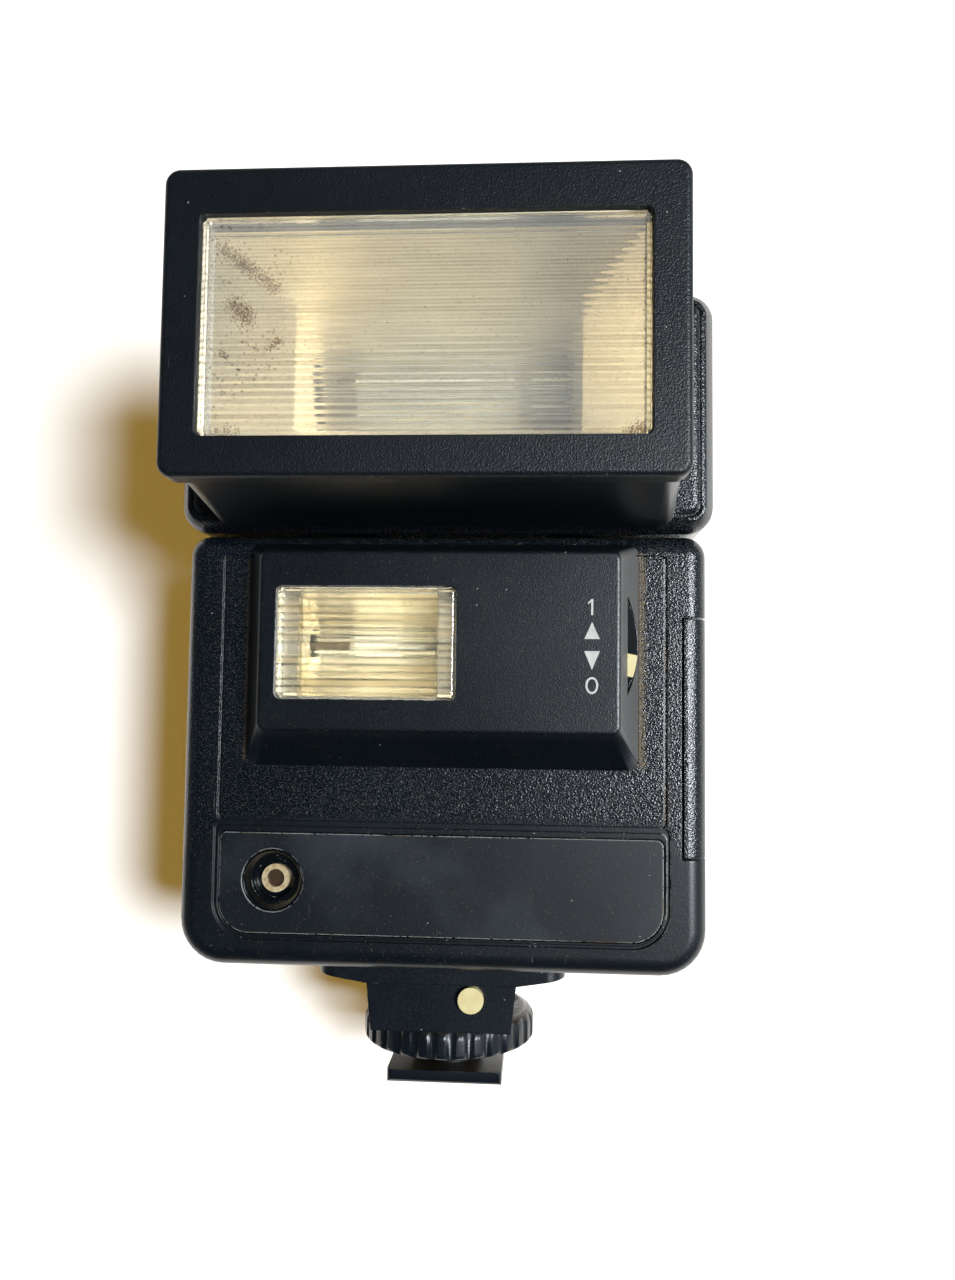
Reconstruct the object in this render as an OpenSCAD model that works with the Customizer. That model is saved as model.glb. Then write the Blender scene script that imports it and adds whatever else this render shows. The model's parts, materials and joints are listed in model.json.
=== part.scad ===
// Electronic flash gun for a camera's accessory shoe: a tilting main head on a
// body with a small fixed fill flash, a side battery door and a shoe foot.
// +Z is up, the front faces -Y, and the origin is the middle of the shoe plate's underside.

/* [Body] */
// Width of the body
body_w = 80; // [78:1:90]
// Height of the body
body_h = 66; // [65:1:74]
// Depth of the body, front to back
body_d = 45; // [44.5:0.5:52]
// Wall of the body and head mouldings
wall = 2; // [1.6:0.1:2.2]
// Radius of the lower body corners, seen from the front
low_r = 7; // [5:0.5:8]
// Radius of the upper body corners
top_r = 3.2; // [3.1:0.1:5]
// Rounding of the front and back edges
edge_r = 3; // [2.5:0.25:3]
// Distance from the body's front to its parting plane
split_d = 25; // [23:1:28]
// Body front to the middle of the shoe plate
foot_back = 23; // [22:0.5:25]
// Body underside above the shoe plate's underside
foot_h = 21; // [20.5:0.5:24]
// Radius of a case screw's boss
boss_r = 4; // [3.6:0.1:4.4]

/* [Front plate] */
// Width of the smooth plate across the lower front
plate_w = 66.8; // [62:0.5:68]
// Height of the plate
plate_h = 15; // [14:0.5:16]
// Thickness of the plate
plate_t = 1; // [0.8:0.1:1.2]
// Plate's lower edge above the body's underside
plate_rise = 5.3; // [5:0.1:6.5]
// Radius of the plate's lower corners
plate_r = 4.7; // [3:0.1:6]
// Gap round the plate in its recess
plate_gap = 0.15; // [0.1:0.05:0.3]
// Distance from the plate to the line that frames it
field_gap = 1; // [0.8:0.1:1.2]
// Width of the lines in the front
field_line = 0.5; // [0.3:0.1:0.7]

/* [Light sensor] */
// Sensor's distance from the body's middle
sensor_x = -25.2; // [-27:0.1:-22]
// Sensor's height above the body's underside
sensor_rise = 13.2; // [12.5:0.1:14]
// Outer radius of the sensor's funnel
funnel_r = 4.6; // [4.2:0.1:5]
// Radius of the metal sensor can
can_r = 2.15; // [1.9:0.05:2.3]

/* [Fill flash] */
// Width of the fill housing's front face
fill_box_w = 53.8; // [52:0.2:56]
// Height of the fill housing's front face
fill_box_h = 27.3; // [26:0.1:28]
// How far the fill housing stands out of the body
fill_rise = 6; // [5.5:0.1:6.5]
// Fill housing's front face below the body's top
fill_drop = 3.1; // [3:0.1:3.6]
// Spread of the fill housing's side walls down to the body
fill_flare = 2.9; // [2:0.1:3.2]
// Spread of the fill housing's lower wall
fill_skirt = 5.1; // [4:0.1:5.6]
// Wall of the fill housing
fill_wall = 1.8; // [1.5:0.1:2]
// Width of the fill window
fill_w = 26.7; // [25:0.1:27.5]
// Height of the fill window
fill_h = 16.6; // [15.5:0.1:17.5]
// Fill window's left edge inside the fill housing's front face
fill_margin = 2.85; // [2.8:0.05:4]
// Outer radius of the fill switch's rocking disc
switch_r = 15.2; // [15:0.05:15.6]
// Thickness of the rocking disc
switch_t = 3; // [2.6:0.1:3.2]
// Disc's pivot from the body's middle
switch_x = 14; // [13.7:0.1:14.3]
// Swing of the disc from off to on, degrees
switch_swing = 23; // [18:1:25]

/* [Head] */
// Width of the head housing
head_w = 82; // [78:1:86]
// Height of the head housing
head_h = 36.9; // [36:0.1:40]
// Gap between the body and the head
head_gap = 0.3; // [0.25:0.05:0.6]
// Head housing's front ahead of the body's front
head_proud = 2; // [1:0.1:3]
// Radius of the head housing's corners
head_r = 4; // [3.6:0.1:5]
// Rounding of the head housing's front and back edges
head_edge_r = 3.5; // [2.8:0.1:3.5]
// Radius of the rounding about the tilt pin
tilt_r = 9; // [8.5:0.1:10]
// Length of the lamp box ahead of the housing, with its bezel
snout_l = 28.4; // [27:0.1:31]
// Spread of the lamp box towards the housing, each side
snout_flare = 2.2; // [1.5:0.1:2.6]
// Wall of the lamp box
snout_wall = 1.8; // [1.5:0.1:1.9]
// Width of the bezel
bezel_w = 66.6; // [66:0.1:69]
// Height of the bezel
bezel_h = 39.8; // [39.4:0.1:41]
// Thickness of the bezel
bezel_t = 3.5; // [3:0.1:4]
// Bezel's lower edge above the head housing's underside
bezel_lift = 1.65; // [1.4:0.05:2]
// Bezel's overhang round the lamp box
bezel_lip = 0.8; // [0.6:0.1:1]
// Width of the lens opening
lens_w = 56.9; // [55:0.1:57.3]
// Height of the lens opening
lens_h = 28.5; // [27:0.1:29.2]
// Middle of the lens below the middle of the bezel
lens_drop = 0.5; // [0.2:0.1:0.7]
// Thickness of the lens skin
lens_t = 1.6; // [1.4:0.1:1.8]
// Distance between the lens ribs
rib_pitch = 1.1; // [0.9:0.05:1.4]
// Height of the lens ribs
rib_rise = 0.3; // [0.2:0.05:0.4]

/* [Tilt hinge] */
// Radius of the tilt pin
pin_r = 1.5; // [1.2:0.1:1.8]
// Middle of each hinge hub from the body's middle
hub_x = 20; // [18:0.5:22]
// Width of each hinge hub
hub_t = 8; // [6:0.5:9]
// Half width of a hub's base on the body
hub_base = 5; // [4:0.25:5.5]

/* [Flash tubes] */
// Radius of the main tube
tube_r = 3; // [2.6:0.1:3.2]
// Radius of the fill tube
fill_tube_r = 2; // [1.7:0.1:2.2]
// Sheet thickness of the reflectors
sheet_t = 0.5; // [0.4:0.05:0.6]

/* [Power] */
// Diameter of a cell
cell_d = 14.2; // [13.8:0.1:14.4]
// Length of a cell with its button
cell_l = 50.4; // [49.5:0.1:50.5]
// Distance between the middles of two cells
cell_pitch = 15.2; // [15.1:0.1:15.4]
// Height of the battery door
door_h = 35.5; // [34.5:0.5:37]
// Thickness of the door's skin
door_t = 1.6; // [1.4:0.1:1.8]
// Gap round the door
door_gap = 0.3; // [0.25:0.05:0.4]
// Radius of the door's pin
door_pin_r = 0.8; // [0.6:0.05:0.9]
// Diameter of the storage capacitor
cap_d = 20; // [18:0.5:20.5]
// Length of the storage capacitor
cap_l = 44; // [40:1:45]

/* [Shoe foot] */
// Width of the shoe plate
shoe_w = 18.6; // [18:0.1:18.7]
// Length of the shoe plate, front to back
shoe_l = 19; // [18:0.5:20]
// Thickness of the shoe plate
shoe_t = 2; // [1.8:0.05:2.1]
// Radius of the foot's stem
stem_r = 5.8; // [5.4:0.1:6.2]
// Radius of the lock wheel
wheel_r = 14.3; // [13.5:0.1:15]
// Height of the lock wheel
wheel_t = 4.8; // [4:0.1:5]
// Number of ribs round the lock wheel
wheel_ribs = 30; // [24:1:34]
// Underside of the clamp washer above the shoe plate, released
clamp_open = 2.1; // [1.9:0.05:2.2]
// Thickness of the clamp washer
washer_t = 1; // [0.8:0.1:1.1]
// Width of the foot's block at its top
block_w = 23.4; // [22:0.2:26]
// Front of the foot's block ahead of the stem's middle
block_front = 16.5; // [16:0.1:17.5]
// Back of the foot's block behind the stem's middle
block_back = 14; // [12:0.5:16]
// Width of the foot's flange under the body
flange_w = 38.4; // [37:0.2:42]
// Thickness of the flange
flange_t = 3; // [2.6:0.1:3.2]
// Radius of the release button
button_r = 2; // [1.7:0.1:2.2]
// Release button's distance from the foot's middle
button_x = 4.7; // [4:0.1:5.5]

/* [Hidden] */
$fn = 64;

// Clearances shared by every fit
run_gap = 0.05;
seat_gap = 0.02;
slip_gap = 0.3;
push_gap = 0.1;

// How far a cut runs past a face, and the reach of a half space
over = 1;
far = 200;

// Planes of the body
front_y = -foot_back;
back_y = front_y + body_d;
split_y = front_y + split_d;
base_z = foot_h;
deck_z = base_z + body_h;

// Case screws
boss_in = 2.8;
boss_step = 0.8;
boss_low = 7;
boss_bite = 0.4;
boss_x = body_w / 2 - wall - boss_in;
boss_z = [base_z + boss_low, deck_z - wall - boss_r + boss_bite];
boss_spots = [for (x = [-boss_x, boss_x], z = boss_z) [x, z]];
screw_r = 1.1;
screw_head_r = 2.2;
screw_head_t = 1.6;
screw_l = 12;
screw_seat = 4;
screw_seat_y = split_y + screw_seat;

// Front plate, the line that frames it and the grained field's line
plate_z = base_z + plate_rise;
plate_top_r = 1;
frame_w = plate_w + 2 * field_gap;
frame_band = 0.9;
frame_z0 = plate_z - field_gap;
frame_z1 = plate_z + plate_h + field_gap + frame_band;
frame_top_r = 1.4;
field_in = 0.4;
field_w = frame_w - 2 * field_in;
field_top = 0.2;
field_z0 = frame_z1 - field_line;
field_z1 = deck_z - edge_r - field_top;
field_deep = 0.4;

// Sensor, from the front inwards
sensor_z = base_z + sensor_rise;
funnel_l = 4;
funnel_mouth = 2.8;
funnel_proud = 0.1;
funnel_lip = 0.2;
funnel_step = 0.9;
funnel_flare = 0.5;
can_l = 3.5;
can_wall = 0.8;
can_in = 1.9;
can_deep = 1;
sensor_lens_t = 0.5;

// Fill housing and its window
fill_z1 = deck_z - fill_drop;
fill_z0 = fill_z1 - fill_box_h;
fill_y = front_y - fill_rise;
fill_top_flare = fill_drop / 2;
fill_low = 0.3;
fill_x = -fill_box_w / 2 + fill_margin + fill_w / 2;
fill_z = (fill_z0 + fill_z1) / 2 - fill_low;
fill_in_y = fill_y + fill_wall;
fill_proud = 0.2;
fill_r = 1.6;
fill_edge = 0.9;
panel_gap = 0.15;
panel_flange_t = 1;
panel_lip = 1.4;
fill_lip = 0.8;
panel_corner = 0.9;
panel_rim = 1.2;
panel_bevel = 1.1;
panel_bevel_in = 0.6;
slice_t = 0.05;
fill_ref_y = fill_in_y + panel_flange_t + push_gap;
fill_ref_over = 0.3;
fill_ref_side = 2.85;
fill_ref_h = fill_h / 2 - panel_rim + fill_ref_over;
fill_ref_w = fill_w / 2 - fill_ref_side;
fill_ref_flare = 1.75;
fill_ref_back = fill_ref_w - fill_ref_flare;

// Fill switch: a rocking disc that shows through the housing's right wall
switch_z = fill_z;
switch_in = 0.6;
switch_y = fill_in_y + switch_in;
switch_span = 34;
switch_hub_r = 3.4;
switch_pivot_r = 1.5;
pivot_over = 0.4;
index_h = 3.3;
index_in = 1.8;

// Battery tray and cells, two by two, lying across the body
tray_end = 1.6;
tray_wall = 0.5;
cell_gap = 0.3;
tray_half = cell_pitch + tray_wall;
tray_front = 4.6;
tray_y = front_y + wall + tray_front + tray_half;
door_rise = 35.5;
door_z = base_z + door_rise;
door_room = 2.5;
tray_x1 = body_w / 2 - door_t - door_room;
tray_x0 = tray_x1 - cell_l - tray_end;
tray_top = door_z + tray_half;
tray_post_r = 2.5;
tray_post_in = [8, 12];
tray_post_rise = 5;
tray_post_x = [tray_x0 + tray_post_in[0], tray_x1 - tray_post_in[1]];
tray_post_z = door_z - tray_half + tray_post_rise;
cell_spots = [for (y = [-1, 1], z = [-1, 1]) [tray_y + y * cell_pitch / 2, door_z + z * cell_pitch / 2]];
contact_t = 0.4;
nub_r = 2.7;
nub_l = 1.2;

// Battery door, hinged on an upright pin at its rear edge
door_wrap = 3.6;
door_front_x = body_w / 2 - door_wrap;
door_z0 = door_z - door_h / 2;
door_z1 = door_z + door_h / 2;
knuckle_r = 1.8;
door_pin_x = body_w / 2 - knuckle_r - slip_gap;
door_pin_back = 1.2;
door_pin_y = tray_y + tray_half + door_pin_back;
door_swing_r = body_w / 2 - door_pin_x;
door_swing_gap = 0.4;
ear_l = 3.4;
ear_end = 0.8;
ear_z = [door_z0 - door_gap - ear_l, door_z1 + door_gap];
pad_half = 3;
pad_room = 0.5;
pad_x = tray_x1 + contact_t + pad_room;
strip_half = 2.6;
dimple_r = 1.6;
dimple_out = 0.3;

// Circuit board behind the tray
board_t = 1.6;
board_room = 0.6;
board_y = tray_y + tray_half + board_room;
board_side = 3;
board_end = 1.5;
board_in = 4;
board_w = 2 * (boss_x - boss_r - board_side);
board_z = [base_z + wall + board_end, deck_z - wall - board_end];
board_post_r = 2.4;
board_pilot_r = 0.8;
board_hole_r = 0.9;
board_head_r = 1.6;
board_head_t = 0.5;
board_spots = [for (x = [-1, 1], z = [board_z[0] + board_in, board_z[1] - board_in])
  [x * (board_w / 2 - board_in), z]];

// Storage capacitor and the two ribs that cradle it
cap_side = 0.8;
cap_gap = 1.1;
cap_room = tray_x0 - cap_gap + body_w / 2 - wall - cap_side;
cap_r = min(cap_d, cap_room) / 2;
cap_x = tray_x0 - cap_gap - cap_r;
cap_ahead = 1;
cap_y = tray_y - cap_ahead;
cap_foot = 1.2;
saddle_t = 2;
saddle_in = 5;
cap_z = (boss_z[0] + boss_z[1]) / 2;
saddle_z = [cap_z - cap_l / 2 + saddle_in, cap_z + cap_l / 2 - 3 * saddle_in];

// Converter transformer and trigger coil, standing on the tray
core_in = [24.1, 11.9];
core_x = [tray_x0 + core_in[0], tray_x1 - core_in[1]];
core_half = 6.5;
core_room = 0.6;
core_h = deck_z - wall - tray_top - core_room;
core_leg = core_h / 4;
trigger_in = 4;
trigger_x = tray_x0 + trigger_in;
trigger_r = 2.6;
trigger_l = 11;
trigger_flange = 1.2;
trigger_step = 0.6;

// Controls on the back
knob_w = 6.6;
knob_h = 4;
knob_out = 1.2;
knob_flange = 0.7;
knob_side = 2.5;
knob_lip = 1.2;
knob_groove = 0.6;
knob_z = board_z[0] + board_in + board_post_r + slip_gap + knob_h / 2 + knob_lip;
knob_in_y = back_y - wall - slip_gap;
power_x = -15;
power_travel = 4;
mode_x = 15;
mode_travel = 6;
test_r = 3.4;
test_rise = 29;
test_z = base_z + test_rise;
test_out = 1;
test_lip = 0.8;
test_flange = 1;
test_dish_r = 12;
test_dish = 0.4;

// Head housing
head_y0 = front_y - head_proud;
head_y1 = back_y;
head_z0 = deck_z + head_gap;
head_z1 = head_z0 + head_h;
tilt_y = head_y1 - tilt_r;
tilt_z = head_z0 + tilt_r;
head_split_in = 3;
head_split_y = tilt_y - tilt_r - head_split_in;
barrel_end = 6;
barrel_step = 0.4;
barrel_x = hub_x + hub_t / 2 + barrel_end;
barrel_r = tilt_r - barrel_step;
hub_r = tilt_r - slip_gap;
head_boss_r = 3;
head_boss_x = head_w / 2 - wall - boss_in;
head_boss_gap = 0.2;
head_boss_up = 4.7;
head_boss_z = [tilt_z + head_boss_up, head_z1 - wall - head_boss_r - head_boss_gap];
head_spots = [for (x = [-head_boss_x, head_boss_x], z = head_boss_z) [x, z]];
head_bite = 6;
head_pilot = 8;
head_seat = 6;
head_seat_y = head_y1 - head_seat;

// Bezel, lamp box and lens
bezel_y0 = head_y0 - snout_l;
bezel_y1 = bezel_y0 + bezel_t;
bezel_z0 = head_z0 + bezel_lift;
bezel_z = bezel_z0 + bezel_h / 2;
bezel_r = 2;
bezel_round = 0.9;
lens_z = bezel_z - lens_drop;
lens_recess = 0.4;
lens_flange_t = 1.2;
head_line_in = 2.2;
head_line = 0.35;
head_line_deep = 0.6;
snout_r = 2.5;
snout_root = 0.6;
snout_half = bezel_w / 2 - bezel_lip;
snout_back_y = head_y0 + head_edge_r;

// Main reflector and tube
main_ref_y = bezel_y1 + lens_flange_t + push_gap;
main_ref_in = 0.4;
main_ref_flare = 7.5;
main_ref_draw = 2.3;
main_ref_knee = 14.6;
main_ref_deep = 4.2;
main_ref_h = lens_h / 2 - main_ref_in;
main_ref_w = lens_w / 2 - main_ref_in;
main_ref_mid = main_ref_w - main_ref_flare;
main_ref_back = main_ref_mid - main_ref_draw;
main_ref_mid_y = main_ref_y + main_ref_knee;
main_ref_end = head_y0 + main_ref_deep;
main_walls = [[main_ref_w, main_ref_y], [main_ref_mid, main_ref_mid_y], [main_ref_back, main_ref_end]];
tube_back = 0.6;
tube_over = 0.4;
reach_in = 5;
tube_end = 1.6;
lead_r = 0.5;
lead_l = 3;
lead_in = 2;
main_tube_y = main_ref_end - tube_r - tube_back;
grommet_wall = 2;
grommet_r = tube_r + grommet_wall;
grommet_t = 2.4;
grommet_x = wall_x(main_ref_mid, main_ref_back, main_ref_mid_y, main_ref_end, main_tube_y - grommet_r)
  + sheet_t + slip_gap;
main_tube_half = grommet_x + grommet_t + tube_over;
fill_ref_end = tray_y - tray_half - sheet_t - slip_gap;
fill_tube_y = fill_ref_end - fill_tube_r - tube_back;
fill_tube_end = 2.5;
fill_tube_half = fill_ref_w + fill_tube_end;
fill_ref_mid = (fill_ref_w + fill_ref_back) / 2;
fill_ref_mid_y = (fill_ref_y + fill_ref_end) / 2;
fill_walls = [[fill_ref_w, fill_ref_y], [fill_ref_mid, fill_ref_mid_y], [fill_ref_back, fill_ref_end]];

// Foot, from the shoe plate upwards
washer_z = shoe_t + clamp_open;
washer_r = 8.6;
wheel_z = washer_z + washer_t + push_gap;
block_z = wheel_z + wheel_t + slip_gap + push_gap;
block_taper = 0.8;
flange_z = base_z - flange_t;
flange_over = 1.5;
flange_d = block_front + block_back + 2 * flange_over;
flange_y = (block_back - block_front) / 2;
flange_r = 3;
flange_edge = flange_t * 0.6;
block_lean = 2;
stem_bite = 2;
stem_top = flange_z - stem_bite;
rib_r = 0.9;
rib_out = 0.36;
wheel_low_round = 0.8;
wheel_top_round = 1.8;
wheel_round_steps = 5;
wheel_rim = 3.4;
wheel_dish = 0.5;
contact_r = 1.1;
contact_out = 0.3;
contact_nose = 0.2;
contact_collar_r = 2;
contact_rise = 2;
contact_seat = shoe_t + contact_rise;
contact_collar_t = 1;
chamber_r = contact_collar_r + slip_gap;
chamber_l = 6;
chamber_top = contact_seat + chamber_l;
button_drop = 0.4;
button_z = flange_z - button_r - button_drop;
button_out = 1.1;
button_l = 5;
button_collar = 0.6;
button_collar_r = button_r + button_collar;
button_collar_t = 1;
button_end = 3.4;
button_back_y = -block_front - button_out + button_l;
foot_screw_side = 3.2;
foot_screw_pitch = 18;
foot_screw_spots = [for (x = [-1, 1], y = [-1, 1])
  [x * (flange_w / 2 - foot_screw_side), flange_y + y * foot_screw_pitch / 2]];
foot_post_r = 3;
foot_post_h = 4;
foot_screw_r = 1;
foot_head_r = 1.8;
foot_head_t = 1.2;
foot_bite = 2.5;
foot_slot = 0.6;
foot_screw_l = flange_t + wall + foot_bite;
coil_sides = 6;
coil_rings = 8;
wire_r = 0.22;
spring_in = 0.5;
button_turns = 3;
contact_turns = 4;

// Half width of a reflector's side wall at a given depth
function wall_x(front_w, back_w, y_front, y_end, y) =
  back_w + (front_w - back_w) * (y_end - y) / (y_end - y_front);

// Outlines laid flat, then carried along one axis
module along_x(x0, x1) {
  translate([x0, 0, 0]) rotate([90, 0, 90]) linear_extrude(x1 - x0) children();
}

module along_y(y0, y1) {
  translate([0, y1, 0]) rotate([90, 0, 0]) linear_extrude(y1 - y0) children();
}

module along_z(z0, z1) {
  translate([0, 0, z0]) linear_extrude(z1 - z0) children();
}

module rod_x(x0, x1, y, z, r) {
  translate([x0, y, z]) rotate([0, 90, 0]) cylinder(h = x1 - x0, r = r);
}

module rod_y(y0, y1, x, z, r) {
  translate([x, y0, z]) rotate([-90, 0, 0]) cylinder(h = y1 - y0, r = r);
}

module rod_z(z0, z1, x, y, r) {
  translate([x, y, z0]) cylinder(h = z1 - z0, r = r);
}

module span(x, y, z) {
  translate([x[0], y[0], z[0]]) cube([x[1] - x[0], y[1] - y[0], z[1] - z[0]]);
}

module round_rect(w, h, r) {
  square([w - 2 * r, h], center = true);
  square([w, h - 2 * r], center = true);
  for (x = [-1, 1], y = [-1, 1]) translate([x * (w / 2 - r), y * (h / 2 - r)]) circle(r);
}

// Rounded outline with its own radius at the lower corners, standing on y = 0
module plate_outline(w, h, r_low, r_up) {
  translate([0, h / 2]) round_rect(w, h, r_low);
  translate([0, h * 0.75]) round_rect(w, h / 2, r_up);
}

// Box rounded at its four long corners and rolled over at its front and back edges
module soft_box(w, y0, y1, z0, z1, r_low, r_up, edge) {
  steps = 5;
  in = [for (i = [0:steps]) edge * (1 - cos(90 * i / steps))];
  dy = [for (i = [0:steps]) edge * (1 - sin(90 * i / steps))];
  hull() for (side = [-1, 1], c = [[z0 + r_low, r_low], [z1 - r_up, r_up]], i = [0:steps - 1])
    translate([side * (w / 2 - c[1]), 0, c[0]]) {
      ring(y0 + dy[i + 1], y0 + dy[i], c[1] - in[i + 1], c[1] - in[i]);
      ring(y1 - dy[i], y1 - dy[i + 1], c[1] - in[i], c[1] - in[i + 1]);
    }
}

module ring(y0, y1, r0, r1) {
  least = 0.05;
  translate([0, y0, 0]) rotate([-90, 0, 0])
    cylinder(h = y1 - y0, r1 = max(r0, least), r2 = max(r1, least), $fn = 32);
}

// Slice of a tapered box: four corner posts of one depth
module corner_slice(x, z0, z1, y0, y1, r0, r1) {
  r = max(r0, r1);
  for (side = [-1, 1], z = [z0 + r, z1 - r]) translate([side * (x - r), 0, z]) ring(y0, y1, r0, r1);
}

// Front of a tapered box: four corner posts whose front edge is rounded
module rounded_front(x, z0, z1, y0, r, edge) {
  steps = 4;
  in = [for (i = [0:steps]) edge * (1 - cos(90 * i / steps))];
  dy = [for (i = [0:steps]) edge * (1 - sin(90 * i / steps))];
  for (side = [-1, 1], z = [z0 + r, z1 - r], i = [0:steps - 1]) translate([side * (x - r), 0, z])
    ring(y0 + dy[i + 1], y0 + dy[i], r - in[i + 1], r - in[i]);
}

// Clear panel: a smooth plug with a flange behind the wall and ribs on its inner face
module clear_panel(x, z, w, h, y_front, y_wall, flange_t, lip) {
  y_back = y_wall + flange_t;
  y_in = y_front + lens_t;
  pocket_w = w - 2 * (panel_gap + panel_rim);
  pocket_h = h - 2 * (panel_gap + panel_rim);
  corner = panel_corner - panel_gap;
  translate([x, 0, z]) {
    difference() {
      union() {
        along_y(y_front, y_back) round_rect(w - 2 * panel_gap, h - 2 * panel_gap, corner);
        along_y(y_wall, y_back) round_rect(w + 2 * lip, h + 2 * lip, corner);
      }
      for (side = [0, 1]) {
        mirror([0, 0, side]) along_x(-w / 2, w / 2) bevel_cut(y_front, h / 2 - panel_gap);
        mirror([side, 0, 0]) rotate([0, 90, 0]) along_x(-h / 2, h / 2) bevel_cut(y_front, w / 2 - panel_gap);
      }
      along_y(y_in, y_back + over) square([pocket_w, pocket_h], center = true);
    }
    along_x(-pocket_w / 2 - panel_rim / 2, pocket_w / 2 + panel_rim / 2) rib_profile(y_in, pocket_h);
  }
}

// Corner taken off one front edge of a clear panel, in depth and height; the edge is at half
module bevel_cut(y_front, half) {
  slope = panel_bevel_in / panel_bevel;
  polygon([[y_front - over * slope, half - panel_bevel - over], [y_front - far, half - panel_bevel - over],
    [y_front - far, half + over], [y_front + panel_bevel_in + over * slope, half + over]]);
}

// Row of shallow rounded ribs, as a depth and height outline rooted in the skin
module rib_profile(y_in, pocket_h) {
  n = floor(pocket_h / rib_pitch);
  half = n * rib_pitch / 2;
  steps = 4;
  root = y_in - rib_rise;
  crest = [for (i = [0:n * steps])
    [y_in + rib_rise * abs(sin(180 * i / steps)), -half + i * rib_pitch / steps]];
  polygon(concat(crest, [[root, half], [root, -half]]));
}

// Parabola in depth and height, closed across its mouth
module parabola(y_front, y_end, half_h, lead) {
  n = 14;
  curve = [for (i = [-n:n]) [y_end - (y_end - y_front) * pow(i / n, 2), half_h * i / n]];
  polygon(concat(curve, [[y_front - lead, half_h], [y_front - lead, -half_h]]));
}

// Side walls seen from above: half widths and depths from the mouth inwards, moved out by t
module flare_outline(walls, t, lead) {
  right = [for (p = walls) [p[0] + t, p[1]]];
  mouth = [right[0][0], right[0][1] - lead];
  end = [right[2][0], right[2][1] + over];
  half = concat([mouth], right, [end]);
  polygon(concat(half, [for (i = [len(half) - 1:-1:0]) [-half[i][0], half[i][1]]]));
}

// Sheet-metal trough: a parabola across, flared side walls, a flat rim, holes for its tube
module reflector(x, z, walls, half_h, rim, tube, tube_y) {
  t = sheet_t;
  front_w = walls[0][0];
  y_front = walls[0][1];
  y_end = walls[2][1];
  translate([x, 0, z]) difference() {
    union() {
      intersection() {
        along_x(-front_w - t, front_w + t) parabola(y_front, y_end + t, half_h + t, 0);
        along_z(-far, far) flare_outline(walls, t, 0);
      }
      along_y(y_front, y_front + t) square([2 * (front_w + rim), 2 * (half_h + panel_lip)], center = true);
    }
    intersection() {
      along_x(-front_w - over, front_w + over) parabola(y_front, y_end, half_h, over);
      along_z(-far, far) flare_outline(walls, 0, over);
    }
    rod_x(-front_w, front_w, tube_y, 0, tube + push_gap);
  }
}

// Sealed glass tube lying across the object
module glass_tube(x, y, z, half, r) {
  bore = r * 0.72;
  translate([x, 0, 0]) difference() {
    rod_x(-half, half, y, z, r);
    rod_x(-half + tube_end, half - tube_end, y, z, bore);
    rod_x(-half - over, half + over, y, z, lead_r + seat_gap);
  }
}

// Metal ends inside a tube, each on a lead that leaves it
module electrodes(x, y, z, half, r, reach) {
  bulb = r * 0.4;
  for (side = [0, 1]) translate([x, 0, 0]) mirror([side, 0, 0]) {
    rod_x(reach, half - lead_in, y, z, bulb);
    rod_x(half - lead_in - push_gap, half + lead_l, y, z, lead_r);
  }
}

// Screw along Y with its head towards the back
module back_screw(x, z, head_y, r, head_r, head_t, l) {
  slot_w = 0.6;
  slot_deep = 0.6;
  difference() {
    union() {
      rod_y(head_y - l, head_y, x, z, r);
      rod_y(head_y, head_y + head_t, x, z, head_r);
    }
    for (turn = [0, 90]) translate([x, head_y + head_t - slot_deep, z]) rotate([0, turn, 0])
      translate([-head_r * 0.7, 0, -slot_w / 2]) cube([head_r * 1.4, slot_deep + over, slot_w]);
  }
}

// Helical wire along +Z as one closed tube
function coil_point(r, l, turns, s) = [r * cos(360 * turns * s), r * sin(360 * turns * s), l * s];

module coil(r, wire, l, turns) {
  n = turns * coil_rings;
  pts = [for (i = [0:n], k = [0:coil_sides - 1])
    let (c = coil_point(r, l, turns, i / n), a = 360 * turns * i / n, b = 360 * k / coil_sides)
    c + wire * [cos(a) * cos(b), sin(a) * cos(b), sin(b)]];
  sides = [for (i = [0:n - 1], k = [0:coil_sides - 1])
    let (m = (k + 1) % coil_sides, a = i * coil_sides, b = a + coil_sides)
    each [[a + k, b + m, b + k], [a + k, a + m, b + m]]];
  caps = [for (k = [1:coil_sides - 2]) each [[0, k + 1, k],
    [n * coil_sides, n * coil_sides + k, n * coil_sides + k + 1]]];
  polyhedron(points = pts, faces = concat(sides, caps));
}

// Body
module body_form() {
  soft_box(body_w, front_y, back_y, base_z, deck_z, low_r, top_r, edge_r);
}

module body_hollow(t) {
  least = 0.6;
  soft_box(body_w - 2 * t, front_y + t, back_y - t, base_z + t, deck_z - t,
    max(low_r - t, least), max(top_r - t, least), max(edge_r - t, least));
}

// Tapered fill housing; in is its wall when the hollow is wanted
module fill_form(in, y_root) {
  r = fill_r;
  x1 = fill_box_w / 2 - in;
  x0 = x1 + fill_flare;
  z0 = fill_z0 + in;
  z1 = fill_z1 - in;
  hull() {
    if (in > 0) corner_slice(x1, z0, z1, fill_y + in, fill_y + in + slice_t, r, r);
    else rounded_front(x1, z0, z1, fill_y, r, fill_edge);
    corner_slice(x0, z0 - fill_skirt, z1 + fill_top_flare, front_y + in / 2, y_root, r, r);
  }
}

module switch_disc(grow) {
  rod_y(switch_y - grow, switch_y + switch_t + grow, switch_x, switch_z, switch_r + grow);
}

module door_window(grow) {
  y1 = door_pin_y + (grow > 0 ? door_swing_r + door_swing_gap : 0);
  span([door_front_x - grow, body_w], [front_y - over, y1], [door_z0 - grow, door_z1 + grow]);
}

module case_cuts() {
  door_window(door_gap);
  top = base_z + wall + foot_post_h + over;
  for (s = foot_screw_spots) rod_z(base_z - over, top, s[0], s[1], foot_screw_r);
}

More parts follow.
